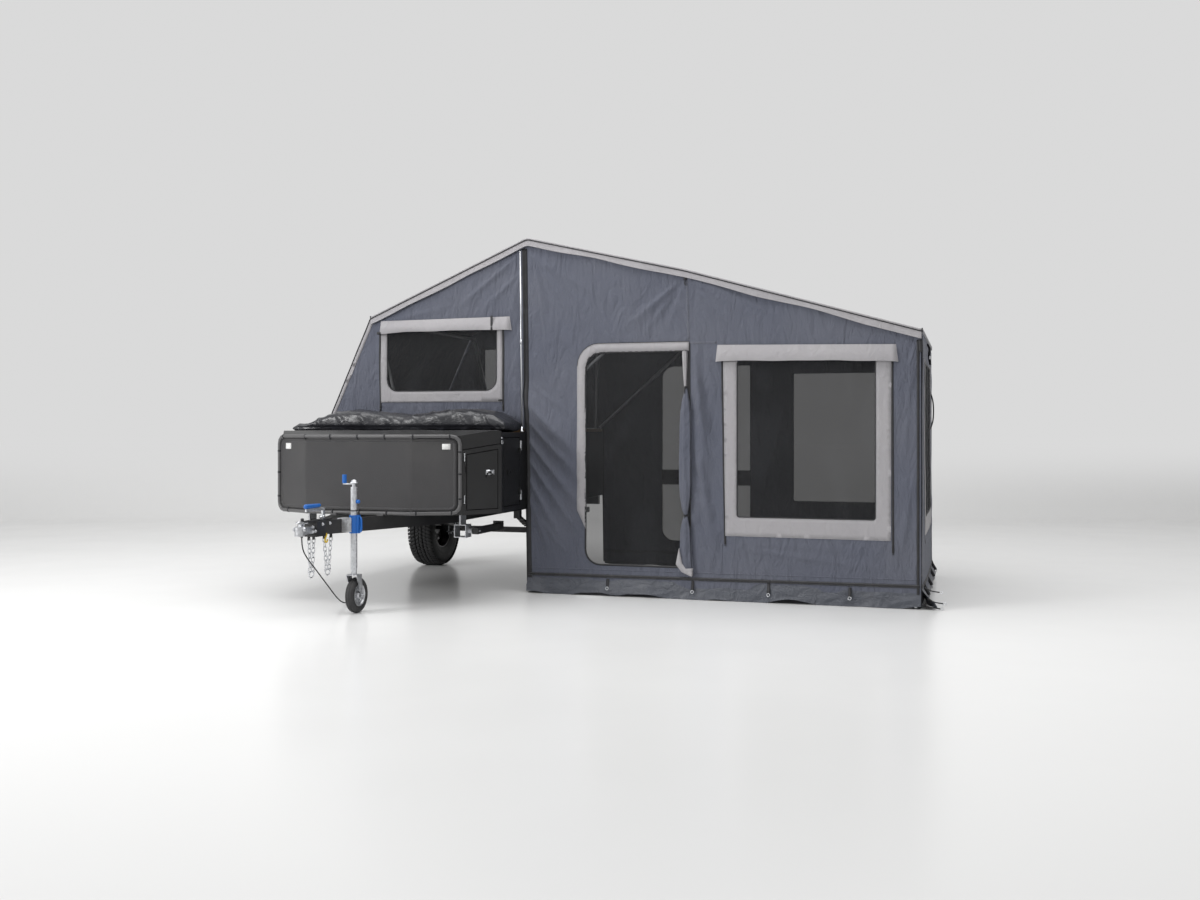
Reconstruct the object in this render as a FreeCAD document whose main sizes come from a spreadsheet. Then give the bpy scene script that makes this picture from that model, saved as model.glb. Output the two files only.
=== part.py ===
import FreeCAD, Part
import math
import os
import sys
import Sketcher

# Off-road camper trailer with its side-opening soft-floor tent pitched.
# X points to the trailer's left side, where the tent stands, Y to its tail and Z up.
# Before the last shift, x = 0 is the trailer's centre line, y = 0 the front of its stone
# guard and z = 0 the ground. All sizes are millimetres.

doc = FreeCAD.newDocument("CamperTrailer")
V = FreeCAD.Vector

# Driving dimensions. A text that starts with = is a formula on the others
SIZES = {
    # Clearances
    "seam_gap": 0.3, "panel_gap": 6, "slide_gap": 0.3, "bearing_gap": 0.05,
    # Body: nose box, its lid and doors, tray, side hatches and tailgate
    "body_half": 955, "body_low": 683, "body_top": 1305, "body_wall": 20,
    "tray_end": "=gable_y + tent_depth + tail_reach", "tail_reach": 24,
    "nose_front_half": 438, "nose_corner_half": 769, "nose_corner_depth": 162,
    "nose_depth": 517, "nose_gap": 36,
    "lid_front_low": 1142, "lid_rear_low": 1217, "lid_front_top": 1253, "lid_rear_top": 1318,
    "lid_flat_from": 420, "lid_wall": 14,
    "door_wall": 16, "door_margin": 34, "barrel_radius": 6, "barrel_length": 46,
    "leaf_plate": 30, "hinge_share": 0.8, "latch_length": 66, "latch_height": 36, "latch_depth": 8,
    "latch_share": 0.68,
    "deck_wall": 20, "deck_depth": 560,
    "hatch_gap": 43, "hatch_front": "=nose_depth + hatch_gap", "hatch_length": 340,
    "hatch_rear": "=hatch_front + hatch_length", "hatch_low": 725, "hatch_top": 1265,
    "arch_inner_x": 478, "arch_outer_x": 764, "arch_half_length": 420, "arch_top": 800,
    "arch_wall": 10,
    "tailgate_margin": 55, "tailgate_low": 730, "tailgate_top": 1265,
    "tail_bar_height": 80, "tail_bar_margin": 40, "tail_bar_drop": 10,
    "lamp_depth": 32, "lamp_width": 200, "lamp_height": 70, "lamp_margin": 80,
    # Chassis and drawbar
    "rail_height": 100, "rail_width": 50, "rail_low": "=body_low - seam_gap - rail_height",
    "rail_x": 420, "apex_y": -560, "drawbar_angle": 19.65,
    "drawbar_length": "=(cross_front_y + rail_width - apex_y) / cos(drawbar_angle)",
    "rail_end": "=tray_end - 50", "cross_half": 520, "cross_height": 60, "cross_front_y": 760,
    "cross_middle_y": 1700, "cross_rear_y": "=rail_end - 50",
    # Stone guard
    "guard_low": 688, "guard_top": 1290, "guard_tube": 28, "guard_corner": 62, "guard_sheet": 5,
    "guard_foot": 50,
    # Coupling and handbrake
    "coupling_y": -858, "cup_low": 592, "cup_height": 66, "cup_wall": 10, "ball_bore": 51,
    "bore_depth": 46, "neck_width": 62, "neck_height": 46, "catch_width": 24, "catch_height": 16,
    "coupling_body_front": -680, "coupling_body_rear": -556, "coupling_body_half": 48,
    "coupling_body_low": 576, "top_plate_front": -780, "top_plate_rear": -440,
    "top_plate_wall": 8, "top_plate_half": 30,
    "brake_post_y": -525, "brake_post_length": 30, "brake_post_width": 14,
    "brake_lever_low": 753, "brake_lever_height": 20, "brake_lever_width": 12,
    "brake_lever_front": -745, "grip_front": -755, "grip_length": 200, "grip_radius": 17,
    # Safety chains
    "chain_left_x": 26, "chain_left_y": -495, "chain_left_half": 47,
    "chain_right_x": -40, "chain_right_y": -605, "chain_right_half": 32,
    "link_length": 54, "link_width": 32, "link_wire": 7, "link_count": 7,
    "lug_width": 26, "lug_height": 30, "lug_wall": 8,
    "shackle_half": 33, "shackle_drop": 40, "shackle_pin_half": 14,
    # Trailer lead, its gland and plug
    "lead_diameter": 9, "lead_x": -15, "lead_y": -772, "gland_diameter": 24,
    "gland_length": 25, "plug_diameter": 34, "plug_length": 85,
    # Jockey stand
    "jockey_x": 160, "jockey_y": -355, "jockey_wheel_diameter": 257, "jockey_tyre_width": 66,
    "jockey_bead": 160, "jockey_hub": 44, "jockey_web": 20, "jockey_pin": 14,
    "jockey_tube": 48, "jockey_tube_wall": 3, "jockey_tube_low": 318, "jockey_tube_top": 913,
    "jockey_leg_length": 420, "jockey_trail": 38,
    "fork_wall": 5, "fork_gap": 5, "fork_head": 76, "fork_foot": 32, "fork_rise": 20,
    "hub_height": 26, "hub_radius": 13, "crank_reach": 85, "crank_width": 16, "crank_wall": 8,
    "knob_radius": 16, "knob_height": 62,
    "clamp_low": 580, "clamp_height": 130, "clamp_wall": 9,
    "clamp_lever_depth": 30, "clamp_lever_out": 12,
    "bracket_low": 590, "bracket_height": 100, "bracket_depth": 84,
    # Wheels, axle and springs
    "axle_set_back": 530, "axle_y": "=tray_end - axle_set_back", "track_half": 620, "tyre_diameter": 730,
    "tyre_width": 235,
    "tread_width": 186, "shoulder": 34, "rim_diameter": 381, "rim_width": 180, "rim_wall": 9,
    "disc_wall": 12, "disc_inset": 26, "disc_hole": 50, "disc_hole_circle": 250,
    "disc_hole_count": 6, "hub_diameter": 120, "hub_length": 60,
    "axle_beam": 50, "stub_diameter": 40,
    "spring_half": 430, "spring_width": 60, "leaf_wall": 8, "leaf_count": 6,
    "leaf_step": 0.14, "eye_drop": 45, "hanger_length": 50, "hanger_height": 75,
    # Swing-down legs and their sockets
    "leg_length": 470, "leg_tube": 50, "leg_pin": 16, "leg_drop": 38, "leg_foot": 90,
    "leg_foot_wall": 6, "leg_front_x": 765, "leg_front_y": 470, "leg_rear_x": 820,
    "leg_rear_y": "=tray_end - 140", "socket_size": 100, "socket_wall": 6, "socket_length": 105,
    "socket_lead": 17.5, "socket_offset": 108, "leg_gap": 8, "collar_radius": 22,
    # Tent
    "gable_y": 1070, "tent_depth": 2106, "canvas": 5, "ridge_x": 962, "ridge_z": 2890,
    "kink_x": 2275, "kink_z": 2584, "knee_x": -445, "knee_z": 2284, "eave_x": 4063,
    "eave_z": 2071, "foot_inset": 70, "foot_x": "=foot_inset - base_half",
    "base_z": "=body_top + seam_gap + base_wall", "base_wall": 30, "base_half": "=body_half - 5",
    "roof_overhang": 25, "valance_height": 62, "valance_wall": 3, "wall_low": 30,
    "skirt_height": 150, "skirt_flare": 34, "skirt_wall": 4, "floor_wall": 4,
    "pole": 28, "pole_drop": 26, "ridge_pole_inset": 40, "ridge_foot_inset": 80,
    "mid_foot_inset": 20, "knee_foot_x": -180, "eave_pole_inset": 40,
    "screen": 2, "screen_set": 1.5,
    "mattress_height": 110, "mattress_margin": 150, "base_inset": 4,
    # Openings in the long walls, from the trailer's centre plane and the ground
    "door_x": 1460, "door_width": 850, "door_low": 247, "door_height": 1693,
    "door_corner": 120,
    "window_x": "=door_x + door_width + (eave_x - door_x - door_width) * window_start",
    "window_width": "=(eave_x - door_x - door_width) * window_share",
    "window_start": 0.2168, "window_share": 0.595, "window_low": 652, "window_height": 1200,
    "window_corner": 18,
    "bed_window_x": -302, "bed_window_width": 993, "bed_window_low": 1649,
    "bed_window_height": 506, "bed_window_corner": 95,
    "awning_reach": 40, "awning_height": 103, "awning_rise": 102, "awning_wall": 6,
    "window_awning_margin": 160, "bed_awning_margin": 108, "bed_awning_rise": 95,
    "end_window_margin": 480,
    # Rolled door flap and gathered travel cover
    "flap_width": 106, "flap_depth": 60, "flap_set": 24, "flap_drop": 40,
    "cover_gap": 60, "cover_half": 940, "cover_height": 150,
    "cover_front_height": 60, "cover_rear_height": 120, "cover_crown": 0.55,
}

sheet = doc.addObject("Spreadsheet::Sheet", "Sizes")
for row, alias in enumerate(SIZES, 1):
    sheet.set(f"A{row}", alias)
    sheet.setAlias(f"B{row}", alias)
for row, number in enumerate(SIZES.values(), 1):
    sheet.set(f"B{row}", str(number))
doc.recompute()


def value(alias):
    """A size from the sheet, for the shapes that Part's own functions make."""
    return float(sheet.get(alias))


# The row's origin is the middle of the whole object's box, on the ground
ORIGIN_X = "((Sizes.eave_x + Sizes.skirt_flare - Sizes.body_half) / 2 - Sizes.barrel_radius)"
ORIGIN_Y = "((Sizes.tray_end + Sizes.lamp_depth + Sizes.coupling_y) / 2)"
origin = V(
    (value("eave_x") + value("skirt_flare") - value("body_half")) / 2 - value("barrel_radius"),
    (value("tray_end") + value("lamp_depth") + value("coupling_y")) / 2,
    0,
)

subparts = {}


def keep(obj, node):
    """Labels an object as a finished sub-part."""
    obj.Label = node
    subparts[node] = obj
    return obj


def place(obj, x="0", y="0", z="0", turn=None):
    """Binds an object's placement to sizes, shifted to the row's origin."""
    spot = f"vector({x} - {ORIGIN_X}; {y} - {ORIGIN_Y}; {z})"
    axis, angle = turn or ("0; 0; 1", "0")
    obj.setExpression("Placement", f"placement({spot}; rotation(vector({axis}); {angle}))")
    return obj


def box(name, x, y, z, length, width, height, turn=None):
    obj = doc.addObject("Part::Box", name)
    obj.setExpression("Length", length)
    obj.setExpression("Width", width)
    obj.setExpression("Height", height)
    return place(obj, x, y, z, turn)


def cylinder(name, x, y, z, radius, height, turn=None):
    obj = doc.addObject("Part::Cylinder", name)
    obj.setExpression("Radius", radius)
    obj.setExpression("Height", height)
    return place(obj, x, y, z, turn)


ALONG_X = ("0; 1; 0", "90")
ALONG_Y = ("1; 0; 0", "-90")


def fuse(name, shapes):
    obj = doc.addObject("Part::MultiFuse", name)
    obj.Shapes = shapes
    obj.Refine = True
    return obj


def cut(name, base, tool):
    obj = doc.addObject("Part::Cut", name)
    obj.Base = base
    obj.Tool = tool
    return obj


def common(name, shapes):
    obj = doc.addObject("Part::MultiCommon", name)
    obj.Shapes = shapes
    return obj


def group(name, shapes):
    """Like pieces that don't touch, as one object."""
    obj = doc.addObject("Part::Compound", name)
    obj.Links = shapes
    return obj


def plane(body, role):
    return next(item for item in body.Origin.OriginFeatures if item.Role == role)


def outline(sketch, points):
    """A closed polygon whose corners are bound to pairs of expressions."""
    count = len(points)
    ring = [
        V(100 * math.cos(2 * math.pi * i / count), 100 * math.sin(2 * math.pi * i / count), 0)
        for i in range(count)
    ]
    for i in range(count):
        sketch.addGeometry(Part.LineSegment(ring[i], ring[(i + 1) % count]), False)
    for i in range(count):
        sketch.addConstraint(Sketcher.Constraint("Coincident", i, 2, (i + 1) % count, 1))
    for i, pair in enumerate(points):
        for kind, start, expression in zip(("DistanceX", "DistanceY"), ring[i], pair):
            index = sketch.addConstraint(Sketcher.Constraint(kind, -1, 1, i, 1, start))
            sketch.setExpression(f"Constraints[{index}]", expression)


def add_sketch(body, name, role, points, offset="0"):
    sketch = body.newObject("Sketcher::SketchObject", name)
    sketch.AttachmentSupport = (plane(body, role), [""])
    sketch.MapMode = "FlatFace"
    outline(sketch, points)
    sketch.setExpression(".AttachmentOffset.Base.z", offset)
    return sketch


def prism(name, role, points, offset, length):
    """A body padded from an outline. XZ pads run towards -Y from -offset."""
    body = doc.addObject("PartDesign::Body", name)
    sketch = add_sketch(body, name + "Outline", role, points, offset)
    pad = body.newObject("PartDesign::Pad", name + "Pad")
    pad.Profile = sketch
    pad.setExpression("Length", length)
    return place(body)


def turned(name, points, x, y, z):
    """A body revolved about X from an outline of (along, radius) pairs."""
    body = doc.addObject("PartDesign::Body", name)
    sketch = add_sketch(body, name + "Outline", "XZ_Plane", points)
    spin = body.newObject("PartDesign::Revolution", name + "Spin")
    spin.Profile = sketch
    spin.ReferenceAxis = (sketch, ["H_Axis"])
    spin.Angle = 360
    return place(body, x, y, z)


def feature(name, shape):
    obj = doc.addObject("Part::Feature", name)
    obj.Shape = shape
    obj.Placement.Base = -origin
    return obj


def mirror_x(name, source):
    """The source reflected in the trailer's centre plane."""
    obj = doc.addObject("Part::Mirroring", name)
    obj.Source = source
    obj.Normal = V(1, 0, 0)
    obj.setExpression(".Base.x", f"-{ORIGIN_X}")
    return obj


def slab(points, start, run):
    """A solid swept along a vector from a flat polygon of points."""
    return Part.Face(Part.makePolygon([start + p for p in points + points[:1]])).extrude(run)


def tube_path(points, radii, closed=False):
    """A wire of straight runs with a tangent arc at each corner that has a radius."""
    count = len(points)
    corners = range(count) if closed else range(1, count - 1)
    bends = {}
    for i, radius in zip(corners, radii):
        back = (points[i - 1] - points[i]).normalize()
        ahead = (points[(i + 1) % count] - points[i]).normalize()
        half = back.getAngle(ahead) / 2
        reach = radius / math.tan(half)
        middle = (back + ahead).normalize()
        sag = radius / math.sin(half) - radius
        bends[i] = (points[i] + back * reach, points[i] + middle * sag, points[i] + ahead * reach)
    edges = []
    for i in range(count if closed else count - 1):
        begin = bends[i][2] if i in bends else points[i]
        end_index = (i + 1) % count
        end = bends[end_index][0] if end_index in bends else points[end_index]
        edges.append(Part.LineSegment(begin, end).toShape())
        if end_index in bends:
            edges.append(Part.Arc(*bends[end_index]).toShape())
    return Part.Wire(edges)


MITRED = 1


def tube(path, diameter, joint=0):
    """A solid round bar along a wire."""
    first = path.Edges[0]
    start = first.valueAt(first.FirstParameter)
    heading = first.tangentAt(first.FirstParameter)
    ring = Part.Wire([Part.Circle(start, heading, diameter / 2).toShape()])
    return path.makePipeShell([ring], True, joint == 0, joint)


# Nose box: six-sided plan, open top, a door opening in each slanted side
def nose_plan(inset=0.0, rear_inset=0.0):
    """The nose's plan, drawn in by an equal inset all round and by more at its rear."""
    front, corner_y = value("nose_gap"), value("nose_gap") + value("nose_corner_depth")
    mid, corner = value("nose_front_half"), value("nose_corner_half")
    half, rear = value("body_half"), value("nose_depth") - rear_inset
    wire = Part.makePolygon([
        V(-mid, front, 0), V(mid, front, 0), V(corner, corner_y, 0), V(half, rear, 0),
        V(-half, rear, 0), V(-corner, corner_y, 0), V(-mid, front, 0)])
    return Part.Face(wire.makeOffset2D(-inset, 2) if inset else wire)


def nose_line(front, rear, y):
    """Height at a distance behind the front of a line that rises over the nose's depth."""
    return front + (rear - front) * y / value("nose_depth")


def under_line(front, rear, reach=100.0):
    """Everything over the nose and below a slanted line, as one block."""
    half, depth = value("body_half") + reach, value("nose_depth")
    return slab([V(0, -reach, 0), V(0, depth + reach, 0),
                 V(0, depth + reach, nose_line(front, rear, depth + reach)),
                 V(0, -reach, nose_line(front, rear, -reach))], V(-half, 0, 0), V(2 * half, 0, 0))


def nose_block(inset, rear_inset, low):
    face = nose_plan(inset, rear_inset)
    face.translate(V(0, 0, low))
    return face.extrude(V(0, 0, 2 * value("body_top") - low))


side_start = V(value("nose_corner_half"), value("nose_corner_depth") + value("nose_gap"), 0)
side_end = V(value("body_half"), value("nose_depth"), 0)
side_along = (side_end - side_start).normalize()
side_out = V(side_along.y, -side_along.x, 0)


def side_panel(margin, depth_in, depth_out=0.0):
    """A prism over the nose's slanted side, set in from its edges by a margin."""
    length = (side_end - side_start).Length
    low = value("body_low") + margin
    corners = []
    for reach, upper in ((margin, False), (length - margin, False),
                         (length - margin, True), (margin, True)):
        point = side_start + side_along * reach
        top = nose_line(value("lid_front_low"), value("lid_rear_low"), point.y) - margin
        corners.append(V(point.x, point.y, top if upper else low))
    return slab(corners, -side_out * depth_in, side_out * (depth_in + depth_out))


nose_shell = nose_block(0, 0, value("body_low")).common(
    under_line(value("lid_front_low"), value("lid_rear_low")))
nose_shell = nose_shell.cut(nose_block(value("body_wall"), 0,
                                       value("body_low") + value("body_wall")))
door_hole = feature("DoorHole", side_panel(value("door_margin"), 2 * value("body_wall"),
                                           value("body_wall")))
both_holes = fuse("DoorHoles", [door_hole, mirror_x("DoorHoleRight", door_hole)])
keep(cut("NoseBox", feature("NoseShell", nose_shell), both_holes), "nose_box")


def barrel(centre, heading):
    """One hinge barrel centred on a point of its axis."""
    length = value("barrel_length")
    return Part.makeCylinder(value("barrel_radius"), length, centre - heading * length / 2,
                             heading)


def leafed_panel(panel, centres, heading, into, out):
    """A panel with a barrel at each centre and a leaf from it over the panel's face."""
    radius, length = value("barrel_radius"), value("barrel_length")
    across = into.cross(out)
    pieces = []
    for centre in centres:
        leaf = Part.makeBox(value("leaf_plate"), radius, length)
        leaf.Placement = FreeCAD.Placement(
            centre - across * length / 2 - out * (radius + value("seam_gap")),
            FreeCAD.Rotation(into, out, across, "XYZ"))
        pieces += [barrel(centre, heading), leaf]
    return panel.multiFuse(pieces).removeSplitter()


def latch(centre, along, out):
    """A slam latch: a raised plate with a finger recess."""
    length, height, depth = (value("latch_length"), value("latch_height"),
                             value("latch_depth"))
    across = along.cross(out)
    turn = FreeCAD.Rotation(along, out, across, "XYZ")
    plate = Part.makeBox(length, depth, height)
    plate.Placement = FreeCAD.Placement(centre - (along * length + across * height) / 2, turn)
    pocket = Part.makeBox(length / 2, depth, height / 2)
    pocket.Placement = FreeCAD.Placement(
        centre - (along * length + across * height) / 4 + out * depth / 2, turn)
    return plate.cut(pocket)


def nose_door_shape():
    margin = value("door_margin") + value("panel_gap")
    panel = side_panel(margin, value("door_wall"))
    hinge = side_start + side_along * value("door_margin") + side_out * (
        value("barrel_radius") + value("seam_gap"))
    low, top = value("body_low") + margin, value("lid_front_low") - margin
    centres = [V(hinge.x, hinge.y, low + (top - low) * share) for share in (0.2, 0.8)]
    length = (side_end - side_start).Length
    grip = side_start + side_along * length * value("latch_share")
    handle = latch(V(grip.x, grip.y, low + (top - low) * value("latch_share")),
                   side_along, side_out)
    return leafed_panel(panel.fuse(handle), centres, V(0, 0, 1), side_along, side_out)


nose_door = feature("NoseDoorLeft", nose_door_shape())
keep(nose_door, "nose_door_left")
keep(mirror_x("NoseDoorRight", nose_door), "nose_door_right")

# Nose lid: a folded sheet over the nose with a slanted top, hinged on the tray's deck
lid_top = [V(0, 0, value("lid_front_top")), V(0, value("lid_flat_from"), value("lid_rear_top")),
           V(0, value("nose_depth"), value("lid_rear_top"))]


def lid_block(inset, lower, drop):
    """The lid's outer or inner block, between its lower line and its folded top."""
    half = value("body_half")
    low_line = [V(0, value("nose_depth"), value("lid_rear_low") + lower),
                V(0, 0, value("lid_front_low") + lower)]
    side = slab([point - V(0, 0, drop) for point in lid_top] + low_line, V(-half, 0, 0),
                V(2 * half, 0, 0))
    return nose_block(inset, value("panel_gap"), value("body_low")).common(side)


lid_sheet = lid_block(0, value("panel_gap"), 0).cut(
    lid_block(value("lid_wall"), -value("body_wall"), value("lid_wall")))
cross_spots = [side * value("body_half") * value("hinge_share") for side in (-1, 1)]
lid_axis_z = value("body_top") + value("barrel_radius") + value("seam_gap")
lid_shape = lid_sheet
for spot in cross_spots:
    axis_point = V(spot, value("nose_depth"), lid_axis_z)
    leaf_y = value("nose_depth") - value("panel_gap") - value("lid_wall") / 2
    leaf = Part.makeBox(value("barrel_length"), value("nose_depth") - leaf_y,
                        value("barrel_radius"),
                        V(spot - value("barrel_length") / 2, leaf_y,
                          lid_axis_z - value("barrel_radius")))
    lid_shape = lid_shape.multiFuse([leaf, barrel(axis_point, V(1, 0, 0))])
keep(feature("NoseLid", lid_shape.removeSplitter()), "nose_lid")

# Tray: hollow body with wheel arches, a fixed front deck, side hatches and an open tail
tray_outer = box("TrayOuter", "-Sizes.body_half", "Sizes.nose_depth + Sizes.seam_gap",
                 "Sizes.body_low", "2 * Sizes.body_half",
                 "Sizes.tray_end - Sizes.nose_depth - Sizes.seam_gap",
                 "Sizes.body_top - Sizes.body_low")
tray_inner = box("TrayInner", "-Sizes.body_half + Sizes.body_wall",
                 "Sizes.nose_depth + Sizes.body_wall", "Sizes.body_low + Sizes.body_wall",
                 "2 * (Sizes.body_half - Sizes.body_wall)",
                 "Sizes.tray_end - Sizes.nose_depth - 2 * Sizes.body_wall",
                 "Sizes.body_top")
front_deck = box("FrontDeck", "-Sizes.body_half", "Sizes.nose_depth + Sizes.seam_gap",
                 "Sizes.body_top - Sizes.deck_wall", "2 * Sizes.body_half",
                 "Sizes.deck_depth", "Sizes.deck_wall")
tail_hole = box("TailHole", "-Sizes.body_half + Sizes.tailgate_margin",
                "Sizes.tray_end - 2 * Sizes.body_wall", "Sizes.tailgate_low",
                "2 * (Sizes.body_half - Sizes.tailgate_margin)", "4 * Sizes.body_wall",
                "Sizes.tailgate_top - Sizes.tailgate_low")
hatch_hole = box("HatchHole", "-Sizes.body_half - Sizes.body_wall", "Sizes.hatch_front",
                 "Sizes.hatch_low", "2 * (Sizes.body_half + Sizes.body_wall)",
                 "Sizes.hatch_rear - Sizes.hatch_front", "Sizes.hatch_top - Sizes.hatch_low")


def arch_block(name, side, wall, low):
    """A wheel arch's block on one side, a wall larger than the space in it."""
    x = f"Sizes.arch_inner_x - {wall}" if side > 0 else f"-Sizes.arch_outer_x - {wall}"
    return box(name, x, f"Sizes.axle_y - Sizes.arch_half_length - {wall}", low,
               f"Sizes.arch_outer_x - Sizes.arch_inner_x + 2 * {wall}",
               f"2 * (Sizes.arch_half_length + {wall})", f"Sizes.arch_top + {wall} - ({low})")


arch_walls = [arch_block(f"Arch{n}", side, "Sizes.arch_wall", "Sizes.body_low")
              for n, side in (("Left", 1), ("Right", -1))]
arch_holes = [arch_block(f"ArchHole{n}", side, "0", "Sizes.body_low - Sizes.body_wall")
              for n, side in (("Left", 1), ("Right", -1))]
tray_solid = fuse("TraySolid", [cut("TrayWalls", tray_outer, tray_inner), front_deck]
                  + arch_walls)
keep(cut("TrayBody", tray_solid, fuse("TrayHoles", [tail_hole, hatch_hole] + arch_holes)),
     "tray_body")

# Side hatches, each hinged along its rear edge
hatch_panel = Part.makeBox(
    value("body_wall"), value("hatch_rear") - value("hatch_front") - 2 * value("panel_gap"),
    value("hatch_top") - value("hatch_low") - 2 * value("panel_gap"),
    V(value("body_half") - value("body_wall"), value("hatch_front") + value("panel_gap"),
      value("hatch_low") + value("panel_gap")))
hatch_x = value("body_half") + value("barrel_radius") + value("seam_gap")
hatch_rise = value("hatch_top") - value("hatch_low")
hatch_centres = [V(hatch_x, value("hatch_rear"), value("hatch_low") + hatch_rise * share)
                 for share in (0.2, 0.8)]
hatch_grip = V(value("body_half"), value("hatch_front") + (
    value("hatch_rear") - value("hatch_front")) * (1 - value("latch_share")),
    value("hatch_low") + hatch_rise / 2)
hatch = feature("SideHatchLeft", leafed_panel(
    hatch_panel.fuse(latch(hatch_grip, V(0, 1, 0), V(1, 0, 0))), hatch_centres,
    V(0, 0, 1), V(0, -1, 0), V(1, 0, 0)))
keep(hatch, "side_hatch_left")
keep(mirror_x("SideHatchRight", hatch), "side_hatch_right")

# Tailgate, hinged along its foot
gate = Part.makeBox(
    2 * (value("body_half") - value("tailgate_margin") - value("panel_gap")),
    value("body_wall"),
    value("tailgate_top") - value("tailgate_low") - 2 * value("panel_gap"),
    V(-value("body_half") + value("tailgate_margin") + value("panel_gap"),
      value("tray_end") - value("body_wall"), value("tailgate_low") + value("panel_gap")))
gate_axis_y = value("tray_end") + value("barrel_radius") + value("seam_gap")
gate_centres = [V(spot, gate_axis_y, value("tailgate_low")) for spot in cross_spots]
keep(feature("Tailgate", leafed_panel(gate, gate_centres, V(1, 0, 0), V(0, 0, 1),
                                      V(0, 1, 0))), "tailgate")


# Chassis: drawbar rails that meet at the apex, main rails and cross members
def drawbar(name, side):
    """One drawbar rail, turned about the apex."""
    lean = f"{side} * Sizes.rail_width / 2 * sin(Sizes.drawbar_angle)"
    return box(name, "-Sizes.rail_width / 2 * cos(Sizes.drawbar_angle)",
               f"Sizes.apex_y + {lean}", "Sizes.rail_low", "Sizes.rail_width",
               "Sizes.drawbar_length", "Sizes.rail_height",
               ("0; 0; 1", f"-{side} * Sizes.drawbar_angle"))


drawbars = [drawbar("DrawbarLeft", 1), drawbar("DrawbarRight", -1)]
main_rails = [
    box(f"Rail{n}", f"{side} * Sizes.rail_x - Sizes.rail_width / 2", "Sizes.cross_front_y",
        "Sizes.rail_low", "Sizes.rail_width", "Sizes.rail_end - Sizes.cross_front_y",
        "Sizes.rail_height")
    for n, side in (("Left", 1), ("Right", -1))
]
crosses = [
    box(f"Cross{name}", "-Sizes.cross_half", f"Sizes.cross_{name}_y",
        "Sizes.rail_low + Sizes.rail_height - Sizes.cross_height",
        "2 * Sizes.cross_half", "Sizes.rail_width", "Sizes.cross_height")
    for name in ("front", "middle", "rear")
]


def chain_lug(x, y, top):
    """A plate under the drawbar with a hole for the chain's first link."""
    width, height, wall = value("lug_width"), value("lug_height"), value("lug_wall")
    plate = Part.makeBox(wall, width, height, V(x - wall / 2, y - width / 2, top - height))
    hole = Part.makeBox(wall, width - 2 * wall, height - 2 * wall,
                        V(x - wall / 2, y - width / 2 + wall, top - height + wall))
    return plate.cut(hole)


CHAINS = {"left": value("rail_low"), "right": value("coupling_body_low")}
lugs = {}
for side, top in CHAINS.items():
    x, y, half = (value(f"chain_{side}_{part}") for part in ("x", "y", "half"))
    pair = [chain_lug(x, y + sign * half, top) for sign in (-1, 1)]
    lugs[side] = feature(f"ChainLugs{side}", Part.makeCompound(pair))
keep(fuse("Chassis", drawbars + main_rails + crosses + [lugs["left"]]), "chassis_frame")

# Stone guard: a bent tube loop on two feet, round three flat facets of sheet
tube_radius = value("guard_tube") / 2
guard_y = -tube_radius


def guard_points():
    """The loop's line, each outer corner rounded in three short runs."""
    half, mid = value("nose_corner_half"), value("nose_front_half")
    back = value("nose_corner_depth") + guard_y
    low, top = value("guard_low") + tube_radius, value("guard_top") - tube_radius
    square = [V(-half, back, low), V(-mid, guard_y, low), V(mid, guard_y, low),
              V(half, back, low), V(half, back, top), V(mid, guard_y, top),
              V(-mid, guard_y, top), V(-half, back, top)]
    radius = value("guard_corner")
    points = []
    for i, point in enumerate(square):
        if abs(point.x) < half:
            points.append(point)
            continue
        before = (square[i - 1] - point).normalize()
        after = (square[(i + 1) % len(square)] - point).normalize()
        centre = point + (before + after) * radius
        points += [centre - before * radius * math.sin(turn) - after * radius * math.cos(turn)
                   for turn in (0, math.pi / 6, math.pi / 3, math.pi / 2)]
    return points


loop = guard_points()
loop.append((loop[0] + loop[-1]) / 2)
loop = loop[-1:] + loop[:-1]
guard_wire = Part.makePolygon(loop + loop[:1])
guard_ring = tube(guard_wire, value("guard_tube"), MITRED)
foot_x = (guard_y - value("apex_y")) * math.tan(math.radians(value("drawbar_angle")))
guard_feet = [
    Part.makeBox(value("guard_foot"), value("guard_tube"),
                 tube_radius + value("guard_low") - value("body_low"),
                 V(side * foot_x - value("guard_foot") / 2, guard_y - tube_radius,
                   value("body_low")))
    for side in (-1, 1)
]
keep(feature("GuardFrame", guard_ring.multiFuse(guard_feet)), "guard_frame")


def guard_sheet_shape():
    """Three facets, inside the tube loop and a hair clear of it."""
    gap = tube_radius + value("seam_gap")
    half = value("nose_corner_half") - gap
    mid = value("nose_front_half")
    slope = value("nose_corner_depth") / (value("nose_corner_half") - mid)
    thick = value("guard_sheet") / 2
    edge_y = guard_y + slope * (half - mid)
    low, top = value("guard_low") + tube_radius + gap, value("guard_top") - tube_radius - gap
    front = [V(-half, edge_y - thick, low), V(-mid, guard_y - thick, low),
             V(mid, guard_y - thick, low), V(half, edge_y - thick, low)]
    rear = [point + V(0, 2 * thick, 0) for point in reversed(front)]
    solid = slab(front + rear, V(0, 0, 0), V(0, 0, top - low))
    depth = value("nose_depth")
    window = Part.makeBox(2 * half, 2 * depth, top - low, V(-half, -depth, low))
    corners = [edge for edge in window.Edges if abs(edge.tangentAt(0).y) > 0.9]
    return solid.common(window.makeChamfer(value("guard_corner") - tube_radius, corners))


keep(feature("GuardSheet", guard_sheet_shape()), "guard_sheet")

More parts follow.
